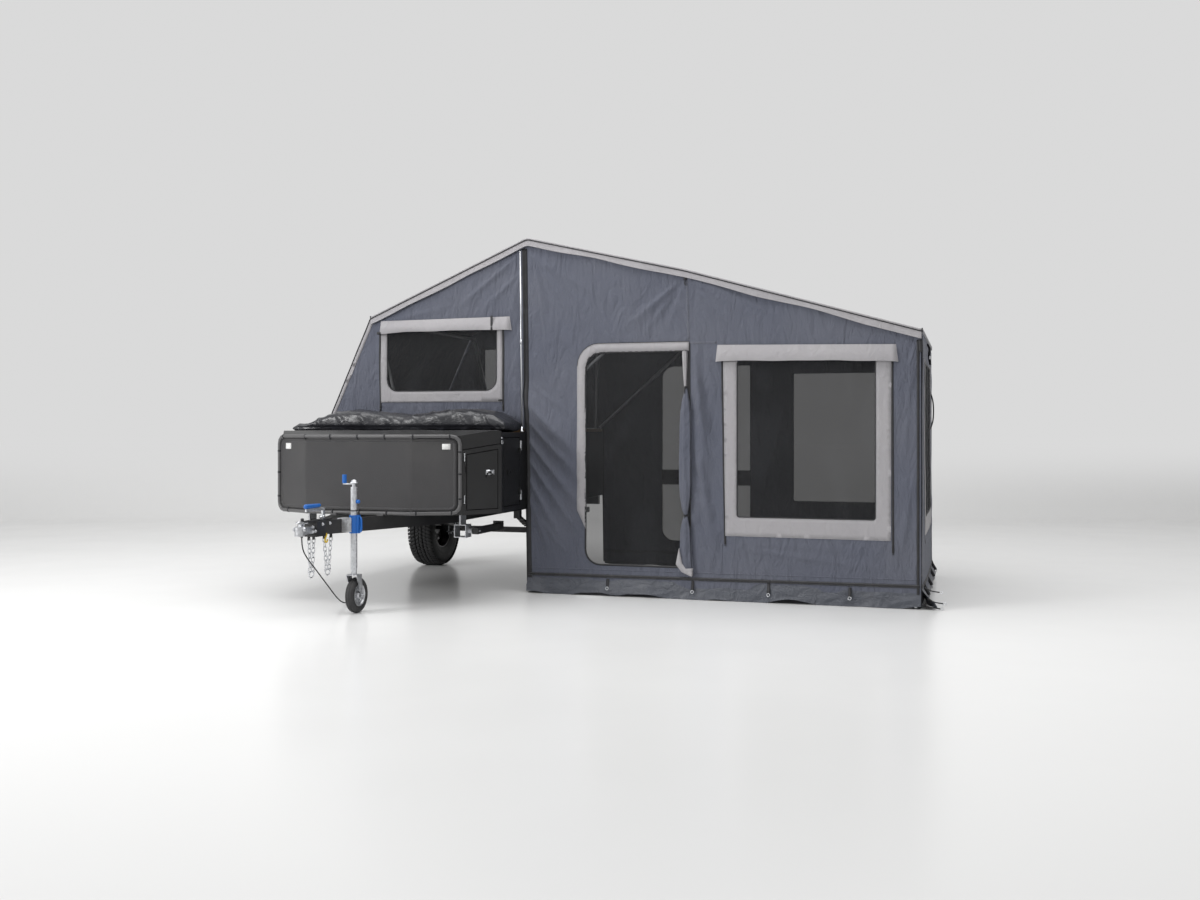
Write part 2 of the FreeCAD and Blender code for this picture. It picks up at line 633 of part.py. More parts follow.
# Coupling: a ball cup with its neck and catch, before a housing over the drawbar's apex
housing = box("Housing", "-Sizes.coupling_body_half", "Sizes.coupling_body_front",
              "Sizes.coupling_body_low", "2 * Sizes.coupling_body_half",
              "Sizes.coupling_body_rear - Sizes.coupling_body_front",
              "Sizes.body_low - Sizes.coupling_body_low")
top_plate = box("TopPlate", "-Sizes.top_plate_half", "Sizes.top_plate_front",
                "Sizes.body_low", "2 * Sizes.top_plate_half",
                "Sizes.top_plate_rear - Sizes.top_plate_front", "Sizes.top_plate_wall")
housing_cut = cut("HousingCut", fuse("HousingSolid", [housing, top_plate]),
                  fuse("ApexCopy", [drawbar("ApexLeft", 1), drawbar("ApexRight", -1)]))
keep(fuse("CouplingBody", [housing_cut, lugs["right"]]), "coupling_body")

cup_y = "(Sizes.coupling_y + Sizes.ball_bore / 2 + Sizes.cup_wall)"
cup_r = "(Sizes.ball_bore / 2 + Sizes.cup_wall)"
cup = cylinder("Cup", "0", cup_y, "Sizes.cup_low", cup_r, "Sizes.cup_height")
neck = box("Neck", "-Sizes.neck_width / 2", cup_y, "Sizes.cup_low + Sizes.cup_wall",
           "Sizes.neck_width", f"Sizes.coupling_body_front - Sizes.seam_gap - {cup_y}",
           "Sizes.neck_height")
catch_top = "Sizes.cup_low + Sizes.cup_height"
cup_catch = box("Catch", "-Sizes.catch_width / 2", cup_y, catch_top, "Sizes.catch_width",
                f"Sizes.top_plate_front - Sizes.panel_gap - {cup_y}", "Sizes.catch_height")
cup_bore = cylinder("CupBore", "0", cup_y, "Sizes.cup_low - Sizes.cup_wall",
                    "Sizes.ball_bore / 2", "Sizes.bore_depth + Sizes.cup_wall")
keep(cut("CouplingHead", fuse("HeadSolid", [cup, neck, cup_catch]), cup_bore),
     "coupling_head")

# Handbrake: post, lever and grip over the coupling
post_low = "(Sizes.body_low + Sizes.top_plate_wall + Sizes.seam_gap)"
post = box("BrakePost", "-Sizes.brake_post_width / 2", "Sizes.brake_post_y", post_low,
           "Sizes.brake_post_width", "Sizes.brake_post_length",
           f"Sizes.brake_lever_low + Sizes.brake_lever_height - {post_low}")
lever = box("BrakeBar", "-Sizes.brake_lever_width / 2", "Sizes.brake_lever_front",
            "Sizes.brake_lever_low", "Sizes.brake_lever_width",
            "Sizes.brake_post_y + Sizes.brake_post_length - Sizes.brake_lever_front",
            "Sizes.brake_lever_height")
keep(fuse("Handbrake", [post, lever]), "handbrake_lever")
grip_z = "(Sizes.brake_lever_low + Sizes.brake_lever_height + Sizes.seam_gap + Sizes.grip_radius)"
keep(cylinder("BrakeGrip", "0", "Sizes.grip_front", grip_z, "Sizes.grip_radius",
              "Sizes.grip_length", ALONG_Y), "handbrake_grip")

# Safety chains: hexagonal links hung as a V from two lugs, with a shackle at the foot
link_tip = value("link_wire") / math.sin(math.pi / 3)
link_seat = value("link_wire") / math.tan(math.pi / 3)
link_pitch = value("link_length") - 2 * link_tip - link_seat - value("seam_gap")


def flat_ring(points, normal):
    """A ring of square wire just inside a polygon."""
    wire = value("link_wire")
    outer = Part.Face(Part.makePolygon(points + points[:1]))
    face = outer.cut(Part.Face(outer.OuterWire.makeOffset2D(-wire, 2)))
    face.translate(-normal * wire / 2)
    return face.extrude(normal * wire)


def chain_link(centre, along, normal):
    """A six-sided ring, its long axis along the chain."""
    side = normal.cross(along)
    half, width = value("link_length") / 2, value("link_width") / 2
    slant = width / math.tan(math.pi / 3)
    flat = [(half, 0), (half - slant, width), (slant - half, width), (-half, 0),
            (slant - half, -width), (half - slant, -width)]
    return flat_ring([centre + along * a + side * b for a, b in flat], normal)


def chain_shapes(x, y, half, top):
    """The links of both strands and the shackle that joins them."""
    count = int(value("link_count"))
    pin_half = value("shackle_pin_half")
    grip = value("link_length") / 2 - link_tip
    start_z = (top - value("lug_height") + value("lug_wall") + value("seam_gap")
               + value("lug_wall") / 2 / math.tan(math.pi / 3))
    run = (count - 1) * link_pitch + 2 * grip
    lean = math.asin((half - pin_half) / run)
    shapes = []
    for sign in (-1, 1):
        down = V(0, -sign * math.sin(lean), -math.cos(lean))
        across = V(1, 0, 0).cross(down)
        first = V(x, y + sign * half, start_z) + down * grip
        for i in range(count):
            shapes.append(chain_link(first + down * (i * link_pitch), down,
                                     V(1, 0, 0) if i % 2 else across))
    wire = value("link_wire")
    bar_low = start_z - run * math.cos(lean) + value("seam_gap")
    reach, drop = value("shackle_half"), value("shackle_drop")
    points = [V(x, y - reach, bar_low + wire), V(x, y + reach, bar_low + wire),
              V(x, y + reach, bar_low - drop / 2), V(x, y + reach / 2, bar_low - drop),
              V(x, y - reach / 2, bar_low - drop), V(x, y - reach, bar_low - drop / 2)]
    return shapes + [flat_ring(points, V(1, 0, 0))]


links = []
for side, top in CHAINS.items():
    x, y, half = (value(f"chain_{side}_{part}") for part in ("x", "y", "half"))
    links += chain_shapes(x, y, half, top)
keep(feature("SafetyChains", Part.makeCompound(links)), "safety_chains")

# Trailer lead: out of a stepped gland under the coupling's plate, down and back to the ground
gland_top = value("cup_low") + value("cup_wall") - value("seam_gap")
gland_foot = gland_top - value("gland_length")
lead_x, lead_y = value("lead_x"), value("lead_y")
steps = [Part.makeCylinder(
    radius, value("gland_length") / 2,
    V(lead_x, lead_y, gland_foot + value("gland_length") * start))
    for start, radius in ((0.5, value("gland_diameter") / 2),
                          (0, (value("gland_diameter") + value("lead_diameter")) / 4))]
keep(feature("LeadGland", steps[0].fuse(steps[1])), "lead_gland")
LEAD_ROUTE = [
    V(lead_x, lead_y, gland_foot), V(lead_x, lead_y, 505), V(-10, -712, 430),
    V(-10, -620, 358), V(-16, -515, 280), V(-28, -405, 204), V(-46, -293, 134),
    V(-70, -178, 70), V(-94, -62, 26), V(-110, 45, 8), V(-122, 150, 17),
]


def lead_radii(points):
    """Each arc is as large as its two runs allow."""
    radii = []
    for before, here, after in zip(points, points[1:], points[2:]):
        turn = (here - before).getAngle(after - here)
        shorter = min((here - before).Length, (after - here).Length)
        radii.append(0.45 * shorter / math.tan(turn / 2))
    return radii


radii = lead_radii(LEAD_ROUTE)
lead_path = tube_path(LEAD_ROUTE, radii)
lead = tube(lead_path, value("lead_diameter"))
section = math.pi * value("lead_diameter") ** 2 / 4
print("lead radii", [round(radius) for radius in radii], "length", round(lead_path.Length, 1),
      "runs", [round((b - a).Length) for a, b in zip(LEAD_ROUTE, LEAD_ROUTE[1:])],
      "volume share", round(lead.Volume / (section * lead_path.Length), 4))
keep(feature("TowLead", lead), "tow_lead")
plug_heading = (LEAD_ROUTE[-1] - LEAD_ROUTE[-2]).normalize()
plug_r, plug_l = value("plug_diameter") / 2, value("plug_length")
plug_parts = [Part.makeCylinder(plug_r * share, plug_l * length,
                                LEAD_ROUTE[-1] + plug_heading * plug_l * start, plug_heading)
              for share, length, start in ((0.6, 0.3, 0), (1, 0.7, 0.3))]
keep(feature("TowPlug", plug_parts[0].fuse(plug_parts[1])), "tow_plug")

# Jockey stand: bracket and clamp on the drawbar, tube with its crank, leg, fork and wheel
clamp_r = "(Sizes.jockey_tube / 2 + Sizes.clamp_wall)"
clamp_ring = cylinder("ClampRing", "Sizes.jockey_x", "Sizes.jockey_y", "Sizes.clamp_low",
                      clamp_r, "Sizes.clamp_height")
clamp_lever = box("ClampLever", "Sizes.jockey_x", "Sizes.jockey_y - Sizes.clamp_lever_depth / 2",
                  "Sizes.clamp_low", f"{clamp_r} + Sizes.clamp_lever_out",
                  "Sizes.clamp_lever_depth", "Sizes.clamp_height")
clamp_bore = cylinder("ClampBore", "Sizes.jockey_x", "Sizes.jockey_y", "Sizes.clamp_low",
                      "Sizes.jockey_tube / 2 + Sizes.seam_gap", "Sizes.clamp_height")
keep(cut("JockeyClamp", fuse("ClampSolid", [clamp_ring, clamp_lever]), clamp_bore),
     "jockey_clamp")
bracket_block = box("BracketBlock", "Sizes.rail_width", "Sizes.jockey_y"
                    " - Sizes.bracket_depth / 2", "Sizes.bracket_low",
                    "Sizes.jockey_x - Sizes.rail_width", "Sizes.bracket_depth",
                    "Sizes.bracket_height")
bracket_bore = cylinder("BracketBore", "Sizes.jockey_x", "Sizes.jockey_y", "Sizes.bracket_low",
                        f"{clamp_r} + Sizes.seam_gap", "Sizes.bracket_height")
inner_side = box("InnerSide", "-1.5 * Sizes.rail_width * cos(Sizes.drawbar_angle)",
                 "Sizes.apex_y + 1.5 * Sizes.rail_width * sin(Sizes.drawbar_angle)",
                 "Sizes.rail_low", "2 * Sizes.rail_width + Sizes.seam_gap",
                 "Sizes.drawbar_length", "Sizes.rail_height + Sizes.seam_gap",
                 ("0; 0; 1", "-Sizes.drawbar_angle"))
keep(cut("JockeyBracket", bracket_block, fuse("BracketHoles", [bracket_bore, inner_side])),
     "jockey_bracket")

tube_outer = cylinder("TubeOuter", "Sizes.jockey_x", "Sizes.jockey_y", "Sizes.jockey_tube_low",
                      "Sizes.jockey_tube / 2", "Sizes.jockey_tube_top - Sizes.jockey_tube_low")
tube_bore = cylinder("TubeBore", "Sizes.jockey_x", "Sizes.jockey_y", "Sizes.jockey_tube_low",
                     "Sizes.jockey_tube / 2 - Sizes.jockey_tube_wall",
                     "Sizes.jockey_tube_top - Sizes.jockey_tube_low - Sizes.crank_wall")
crank_hub = cylinder("CrankHub", "Sizes.jockey_x", "Sizes.jockey_y", "Sizes.jockey_tube_top",
                     "Sizes.hub_radius", "Sizes.hub_height")
crank_z = "(Sizes.jockey_tube_top + Sizes.hub_height - Sizes.crank_wall)"
crank_arm = box("CrankArm", "Sizes.jockey_x - Sizes.crank_reach",
                "Sizes.jockey_y - Sizes.crank_width / 2", crank_z, "Sizes.crank_reach",
                "Sizes.crank_width", "Sizes.crank_wall")
keep(cut("JockeyTube", fuse("TubeSolid", [tube_outer, crank_hub, crank_arm]), tube_bore),
     "jockey_tube")
keep(cylinder("CrankKnob", "Sizes.jockey_x - Sizes.crank_reach + Sizes.crank_width / 2",
              "Sizes.jockey_y", f"{crank_z} + Sizes.crank_wall + Sizes.seam_gap",
              "Sizes.knob_radius", "Sizes.knob_height"), "crank_knob")

wheel_r = "(Sizes.jockey_wheel_diameter / 2)"
wheel_y = "(Sizes.jockey_y + Sizes.jockey_trail)"
fork_half = "(Sizes.jockey_tyre_width / 2 + Sizes.fork_gap + Sizes.fork_wall)"
fork_top = "(Sizes.jockey_wheel_diameter + Sizes.fork_rise)"
keep(cylinder("JockeyInner", "Sizes.jockey_x", "Sizes.jockey_y",
              f"{fork_top} + Sizes.fork_wall + Sizes.seam_gap",
              "Sizes.jockey_tube / 2 - Sizes.jockey_tube_wall - Sizes.slide_gap",
              "Sizes.jockey_leg_length"), "jockey_leg")
head_half = "Sizes.fork_head / 2"
foot_half = "Sizes.fork_foot / 2"
FORK_CHEEK = [
    (f"Sizes.jockey_y - {head_half}", fork_top), (f"Sizes.jockey_y + {head_half}", fork_top),
    (f"{wheel_y} + {foot_half}", f"{wheel_r} + {foot_half}"),
    (f"{wheel_y} + {foot_half}", f"{wheel_r} - {foot_half}"),
    (f"{wheel_y} - {foot_half}", f"{wheel_r} - {foot_half}"),
    (f"{wheel_y} - {foot_half}", f"{wheel_r} + {foot_half}"),
]
fork_cheeks = [
    prism(f"ForkCheek{n}", "YZ_Plane", FORK_CHEEK, x, "Sizes.fork_wall")
    for n, x in enumerate((f"Sizes.jockey_x + {fork_half} - Sizes.fork_wall",
                           f"Sizes.jockey_x - {fork_half}"))
]
fork_bridge = box("ForkBridge", f"Sizes.jockey_x - {fork_half}",
                  f"Sizes.jockey_y - {head_half}", fork_top, f"2 * {fork_half}",
                  "Sizes.fork_head", "Sizes.fork_wall")
fork_pin = cylinder("ForkPin", f"Sizes.jockey_x - {fork_half}", wheel_y, wheel_r,
                    "Sizes.jockey_pin / 2", f"2 * {fork_half}", ALONG_X)
keep(fuse("JockeyFork", fork_cheeks + [fork_bridge, fork_pin]), "jockey_fork")


half_w = "Sizes.jockey_tyre_width / 2"
keep(turned("JockeyTyre", [
    (f"-{half_w}", "Sizes.jockey_bead / 2"), (half_w, "Sizes.jockey_bead / 2"),
    (half_w, wheel_r), (f"-{half_w}", wheel_r)], "Sizes.jockey_x", wheel_y, wheel_r),
    "jockey_tyre")
jockey_bore = "(Sizes.jockey_pin / 2 + Sizes.bearing_gap)"
half_web = "Sizes.jockey_web / 2"
keep(turned("JockeyRim", [
    (f"-{half_w}", jockey_bore), (half_w, jockey_bore), (half_w, "Sizes.jockey_hub / 2"),
    (half_web, "Sizes.jockey_hub / 2"), (half_web, "Sizes.jockey_bead / 2"),
    (f"-{half_web}", "Sizes.jockey_bead / 2"), (f"-{half_web}", "Sizes.jockey_hub / 2"),
    (f"-{half_w}", "Sizes.jockey_hub / 2"),
], "Sizes.jockey_x", wheel_y, wheel_r), "jockey_rim")

# Axle beam with its stub ends
axle_z = "(Sizes.tyre_diameter / 2)"
beam = box("AxleBeam", "-Sizes.track_half + Sizes.rim_width / 2", "Sizes.axle_y"
           " - Sizes.axle_beam / 2", f"{axle_z} - Sizes.axle_beam / 2",
           "2 * Sizes.track_half - Sizes.rim_width", "Sizes.axle_beam", "Sizes.axle_beam")
stubs = cylinder("AxleStubs", "-Sizes.track_half - Sizes.hub_length / 2", "Sizes.axle_y",
                 axle_z, "Sizes.stub_diameter / 2",
                 "2 * Sizes.track_half + Sizes.hub_length", ALONG_X)
keep(fuse("AxleSolid", [beam, stubs]), "axle_beam")


def spring():
    """One arched leaf spring over the axle, its two hangers and the shackle bolts' eyes."""
    width, wall = value("spring_width"), value("leaf_wall")
    half, count = value("spring_half"), int(value("leaf_count"))
    x, y = value("rail_x") - width / 2, value("axle_y")
    bottom = value("tyre_diameter") / 2 + value("axle_beam") / 2 + value("seam_gap")
    eye = value("rail_low") - value("eye_drop")
    rise = eye - bottom - count * wall
    radius = (half * half + rise * rise) / (2 * rise)
    pieces = []
    for index in range(count):
        reach = half * (1 - value("leaf_step") * index)
        level = bottom + (count - 1 - index) * wall
        sag = radius - math.sqrt(radius * radius - reach * reach)
        low, top = (Part.Arc(V(x, y - reach, base + sag), V(x, y, base), V(x, y + reach,
                                                                          base + sag))
                    for base in (level, level + wall))
        ends = [Part.LineSegment(low.StartPoint, top.StartPoint).toShape(),
                Part.LineSegment(low.EndPoint, top.EndPoint).toShape()]
        edges = Part.__sortEdges__([low.toShape(), top.toShape()] + ends)
        pieces.append(Part.Face(Part.Wire(edges)).extrude(V(width, 0, 0)))
    length, height = value("hanger_length"), value("hanger_height")
    for sign in (-1, 1):
        pieces.append(Part.makeBox(
            width, length, height - value("seam_gap"),
            V(x, y + sign * half - length / 2, value("rail_low") - height)))
    return pieces[0].multiFuse(pieces[1:]).removeSplitter()


spring_left = feature("SpringLeft", spring())
keep(group("Springs", [spring_left, mirror_x("SpringRight", spring_left)]), "leaf_springs")

# Road wheels: tyres, and rims whose disc has a ring of round holes
tyre_r = "(Sizes.tyre_diameter / 2)"
bead_r = "(Sizes.rim_diameter / 2)"
hub_r = "Sizes.hub_diameter / 2"
half_hub = "Sizes.hub_length / 2"
half_rim = "Sizes.rim_width / 2"
stub_bore = "(Sizes.stub_diameter / 2 + Sizes.bearing_gap)"
disc_out = "(Sizes.hub_length / 2 - Sizes.disc_inset)"
disc_in = f"({disc_out} - Sizes.disc_wall)"
well_r = f"({bead_r} - Sizes.rim_wall)"
side, crown, edge = "Sizes.tyre_width / 2", "Sizes.tread_width / 2", f"{tyre_r} - Sizes.shoulder"
TYRE_POINTS = [(f"-{side}", bead_r), (side, bead_r), (side, edge), (crown, tyre_r),
               (f"-{crown}", tyre_r), (f"-{side}", edge)]
RIM_POINTS = [
    (f"-{half_hub}", stub_bore), (half_hub, stub_bore), (half_hub, hub_r), (disc_out, hub_r),
    (disc_out, well_r), (half_rim, well_r), (half_rim, bead_r), (f"-{half_rim}", bead_r),
    (f"-{half_rim}", well_r), (disc_in, well_r), (disc_in, hub_r), (f"-{half_hub}", hub_r),
]
for name, sign in (("left", 1), ("right", -1)):
    x = f"Sizes.track_half * {sign}"
    keep(turned(f"Tyre{name}", TYRE_POINTS, x, "Sizes.axle_y", axle_z), f"tyre_{name}")
    rim = turned(f"RimSolid{name}", [(f"{sign} * ({a})", r) for a, r in RIM_POINTS], x,
                 "Sizes.axle_y", axle_z)
    bores = []
    for n in range(int(value("disc_hole_count"))):
        turn = f"({n} * 360 / Sizes.disc_hole_count)"
        circle_r = "Sizes.disc_hole_circle / 2"
        bores.append(cylinder(
            f"RimHole{name}{n}", f"{x} - {half_rim}",
            f"Sizes.axle_y + {circle_r} * cos({turn})", f"{axle_z} + {circle_r} * sin({turn})",
            "Sizes.disc_hole / 2", "Sizes.rim_width", ALONG_X))
    keep(cut(f"Rim{name}", rim, fuse(f"RimHoles{name}", bores)), f"rim_{name}")

# Swing-down legs, stowed level, each on a pin beside an open square socket
leg_z = "(Sizes.rail_low - Sizes.leg_drop)"
half_leg = "Sizes.leg_tube / 2"
half_socket = "Sizes.socket_size / 2"
LEGS = {
    "front_left": (1, "front", 1), "front_right": (-1, "front", 1),
    "rear_left": (1, "rear", -1), "rear_right": (-1, "rear", -1),
}
sockets = []
for name, (side, end_name, way) in LEGS.items():
    x = f"{side} * Sizes.leg_{end_name}_x"
    y = f"Sizes.leg_{end_name}_y"
    leg_start = f"{y} - {half_leg}" if way > 0 else f"{y} + {half_leg} - Sizes.leg_length"
    leg_bar = box(f"LegBar{name}", f"{x} - {half_leg}", leg_start, f"{leg_z} - {half_leg}",
                  "Sizes.leg_tube", "Sizes.leg_length", "Sizes.leg_tube")
    foot_start = (f"{y} - {half_leg} + Sizes.leg_length" if way > 0
                  else f"{leg_start} - Sizes.leg_foot_wall")
    leg_foot = box(f"LegFoot{name}", f"{x} - Sizes.leg_foot / 2", foot_start,
                   f"{leg_z} - Sizes.leg_foot / 2", "Sizes.leg_foot", "Sizes.leg_foot_wall",
                   "Sizes.leg_foot")
    pin_hole = cylinder(f"LegHole{name}", f"{x} - {half_leg}", y, leg_z,
                        "Sizes.leg_pin / 2 + Sizes.bearing_gap", "Sizes.leg_tube", ALONG_X)
    keep(cut(f"Leg{name}", fuse(f"LegSolid{name}", [leg_bar, leg_foot]), pin_hole),
         f"leg_{name}")
    centre = f"({x} - {side} * Sizes.socket_offset)"
    socket_y = f"({y} - {way} * Sizes.socket_lead - Sizes.socket_length / 2)"
    shell = box(f"Socket{name}", f"{centre} - {half_socket}", socket_y,
                f"{leg_z} - {half_socket}", "Sizes.socket_size", "Sizes.socket_length",
                "Sizes.socket_size")
    space = box(f"SocketSpace{name}", f"{centre} - {half_socket} + Sizes.socket_wall",
                socket_y, f"{leg_z} - {half_socket} + Sizes.socket_wall",
                "Sizes.socket_size - 2 * Sizes.socket_wall", "Sizes.socket_length",
                "Sizes.socket_size - 2 * Sizes.socket_wall")
    hanger = box(f"SocketHanger{name}", f"{centre} - Sizes.socket_wall", socket_y,
                 f"{leg_z} + {half_socket} - Sizes.socket_wall", "2 * Sizes.socket_wall",
                 "Sizes.socket_length", f"Sizes.body_low - Sizes.seam_gap - {leg_z}"
                 f" - {half_socket} + Sizes.socket_wall")
    inner_face = f"(Sizes.leg_{end_name}_x - {half_leg} - Sizes.leg_gap)"
    plate_face = f"(Sizes.leg_{end_name}_x - Sizes.socket_offset + {half_socket})"
    collar_run = f"({inner_face} - {plate_face} + Sizes.socket_wall)"
    pin_run = f"({inner_face} + Sizes.leg_gap * 2 + Sizes.leg_tube - {plate_face})"
    collar_x = (f"{plate_face} - Sizes.socket_wall" if side > 0
                else f"-{plate_face} - {inner_face} + {plate_face}")
    pin_x = plate_face if side > 0 else f"-{plate_face} - {pin_run}"
    collar = cylinder(f"LegCollar{name}", collar_x, y, leg_z, "Sizes.collar_radius",
                      collar_run, ALONG_X)
    leg_pin = cylinder(f"LegPin{name}", pin_x, y, leg_z, "Sizes.leg_pin / 2", pin_run, ALONG_X)
    sockets.append(fuse(f"SocketSolid{name}", [cut(f"SocketShell{name}", shell, space),
                                               hanger, collar, leg_pin]))
keep(group("LegBrackets", sockets), "leg_brackets")

# Tail: lamp bar with two lamps
tail_bar_y = "(Sizes.rail_end + Sizes.seam_gap)"
tail_low = "(Sizes.body_low - Sizes.tail_bar_drop - Sizes.tail_bar_height)"
keep(box("TailBar", "-Sizes.body_half + Sizes.tail_bar_margin", tail_bar_y, tail_low,
         "2 * (Sizes.body_half - Sizes.tail_bar_margin)",
         f"Sizes.tray_end - Sizes.seam_gap - {tail_bar_y}", "Sizes.tail_bar_height"),
     "tail_bar")
lamps = [box(f"Lamp{n}", x, "Sizes.tray_end",
             f"{tail_low} + (Sizes.tail_bar_height - Sizes.lamp_height) / 2",
             "Sizes.lamp_width", "Sizes.lamp_depth", "Sizes.lamp_height")
         for n, x in enumerate(("Sizes.body_half - Sizes.lamp_margin - Sizes.lamp_width",
                                "-Sizes.body_half + Sizes.lamp_margin"))]
keep(group("TailLamps", lamps), "tail_lamps")

# Bed base and mattress on the tray
keep(box("BedBase", "-Sizes.base_half", "Sizes.gable_y + Sizes.canvas + Sizes.base_inset",
         "Sizes.base_z - Sizes.base_wall", "2 * Sizes.base_half",
         "Sizes.tent_depth - 2 * (Sizes.canvas + Sizes.base_inset)", "Sizes.base_wall"),
     "bed_base")
keep(box("Mattress", "-Sizes.base_half + Sizes.mattress_margin",
         "Sizes.gable_y + Sizes.mattress_margin", "Sizes.base_z + Sizes.seam_gap",
         "2 * (Sizes.base_half - Sizes.mattress_margin)",
         "Sizes.tent_depth - 2 * Sizes.mattress_margin", "Sizes.mattress_height"), "mattress")

# Long walls of the tent, each with a door, a window and a bed window
under_roof = "- Sizes.canvas - Sizes.seam_gap"
WALL_POINTS = [
    ("Sizes.ridge_x", "Sizes.wall_low"), ("Sizes.eave_x", "Sizes.wall_low"),
    ("Sizes.eave_x", f"Sizes.eave_z {under_roof}"), ("Sizes.kink_x", f"Sizes.kink_z {under_roof}"),
    ("Sizes.ridge_x", f"Sizes.ridge_z {under_roof}"),
    ("Sizes.knee_x", f"Sizes.knee_z {under_roof}"),
    ("Sizes.foot_x", "Sizes.base_z + Sizes.seam_gap"),
    ("Sizes.ridge_x", "Sizes.base_z + Sizes.seam_gap"),
]
OPENINGS = {
    "door": ("door_corner", "window_corner", "window_corner", "door_corner"),
    "window": ("window_corner", "window_corner", "window_corner", "window_corner"),
    "bed_window": ("bed_window_corner", "bed_window_corner", "window_corner", "window_corner"),
}


def rounded_block(kind, front, depth, inset=0.0):
    """A block through an opening, its corners rounded from low left round to high left."""
    x, low = value(f"{kind}_x") + inset, value(f"{kind}_low") + inset
    width, height = value(f"{kind}_width") - 2 * inset, value(f"{kind}_height") - 2 * inset
    shape = Part.makeBox(width, depth, height, V(x, front, low))
    spots = ((x, low), (x + width, low), (x + width, low + height), (x, low + height))
    for (spot_x, spot_z), size in zip(spots, OPENINGS[kind]):
        edge = [e for e in shape.Edges if abs(e.tangentAt(e.FirstParameter).y) > 0.9
                and math.hypot(e.CenterOfMass.x - spot_x, e.CenterOfMass.z - spot_z) < 1]
        shape = shape.makeFillet(value(size) - inset, edge)
    return shape


gable_rear_y = value("gable_y") + value("tent_depth") - value("canvas")
for place_name, wall_y, offset in (
        ("Front", value("gable_y"), "-Sizes.gable_y - Sizes.canvas"),
        ("Rear", gable_rear_y, "-Sizes.gable_y - Sizes.tent_depth")):
    sheet_body = prism(f"{place_name}Wall", "XZ_Plane", WALL_POINTS, offset, "Sizes.canvas")
    holes = fuse(f"WallHoles{place_name}", [
        feature(f"Hole{place_name}{kind}", rounded_block(kind, wall_y, value("canvas")))
        for kind in OPENINGS])
    node = place_name.lower()
    keep(cut(f"Gable{place_name}", sheet_body, holes), f"gable_{node}")
    screens = [
        feature(f"Screen{place_name}{kind}", rounded_block(
            kind, wall_y + value("screen_set"), value("screen"), value("seam_gap")))
        for kind in OPENINGS]
    keep(group(f"Screens{place_name}", screens), f"screens_{node}")

# End wall with its window, and the sloped wall behind the bed
inner_y = "(Sizes.gable_y + Sizes.canvas + Sizes.seam_gap)"
inner_depth = "(Sizes.tent_depth - 2 * Sizes.canvas - 2 * Sizes.seam_gap)"
end_wall = box("EndWallSheet", "Sizes.eave_x - Sizes.canvas", inner_y, "Sizes.wall_low",
               "Sizes.canvas", inner_depth,
               "Sizes.eave_z - 2 * Sizes.canvas - Sizes.wall_low")
end_hole = box("EndOpening", "Sizes.eave_x - Sizes.canvas",
               f"{inner_y} + Sizes.end_window_margin", "Sizes.window_low", "Sizes.canvas",
               f"{inner_depth} - 2 * Sizes.end_window_margin", "Sizes.window_height")
keep(cut("EndWall", end_wall, end_hole), "end_wall")
keep(box("ScreenEnd", "Sizes.eave_x - Sizes.canvas + Sizes.screen_set",
         f"{inner_y} + Sizes.end_window_margin + Sizes.seam_gap",
         "Sizes.window_low + Sizes.seam_gap", "Sizes.screen",
         f"{inner_depth} - 2 * (Sizes.end_window_margin + Sizes.seam_gap)",
         "Sizes.window_height - 2 * Sizes.seam_gap"), "screen_end")
keep(prism("SlopeWall", "XZ_Plane", [
    ("Sizes.foot_x", "Sizes.base_z + Sizes.seam_gap"),
    ("Sizes.knee_x", "Sizes.knee_z - 2 * Sizes.canvas"),
    ("Sizes.knee_x + Sizes.canvas", "Sizes.knee_z - 2 * Sizes.canvas"),
    ("Sizes.foot_x + Sizes.canvas", "Sizes.base_z + Sizes.seam_gap")],
    f"-{inner_y} - {inner_depth}", inner_depth), "slope_wall")

# Roof with its kink over the middle bow, and a valance along each long edge
ROOF_TOP = [("Sizes.knee_x - Sizes.canvas", "Sizes.knee_z"), ("Sizes.ridge_x", "Sizes.ridge_z"),
            ("Sizes.kink_x", "Sizes.kink_z"), ("Sizes.eave_x + Sizes.canvas", "Sizes.eave_z")]


def under(drop):
    """The roof line's points in reverse, a drop lower."""
    return [(x, f"{z} - {drop}") for x, z in reversed(ROOF_TOP)]


roof_front = "(Sizes.gable_y - Sizes.roof_overhang)"
roof_rear = "(Sizes.gable_y + Sizes.tent_depth + Sizes.roof_overhang)"
roof_pieces = [prism("RoofSheet", "XZ_Plane", ROOF_TOP + under("Sizes.canvas"),
                     f"-{roof_rear}", f"{roof_rear} - {roof_front}")]
for n, offset in enumerate((f"-{roof_front} - Sizes.valance_wall", f"-{roof_rear}")):
    roof_pieces.append(prism(f"Valance{n}", "XZ_Plane", ROOF_TOP + under(
        "Sizes.valance_height"), offset, "Sizes.valance_wall"))
keep(fuse("TentRoof", roof_pieces), "tent_roof")

keep(box("TentFloor", "Sizes.ridge_x", inner_y, "0", "Sizes.eave_x - Sizes.ridge_x"
         " - Sizes.canvas - Sizes.seam_gap", inner_depth, "Sizes.floor_wall"), "tent_floor")

# Mud skirts, flared outwards round the foot of the walls
flare = "Sizes.skirt_flare"
front_y = "(Sizes.gable_y - Sizes.seam_gap)"
rear_y = "(Sizes.gable_y + Sizes.tent_depth + Sizes.seam_gap)"
end_x = "(Sizes.eave_x + Sizes.seam_gap)"


def skirt_points(wall, way):
    """A skirt's section: down and away from a wall's face."""
    return [(wall, "Sizes.skirt_height"),
            (f"{wall} + {way} * Sizes.skirt_wall", "Sizes.skirt_height"),
            (f"{wall} + {way} * {flare}", "0"),
            (f"{wall} + {way} * ({flare} - Sizes.skirt_wall)", "0")]


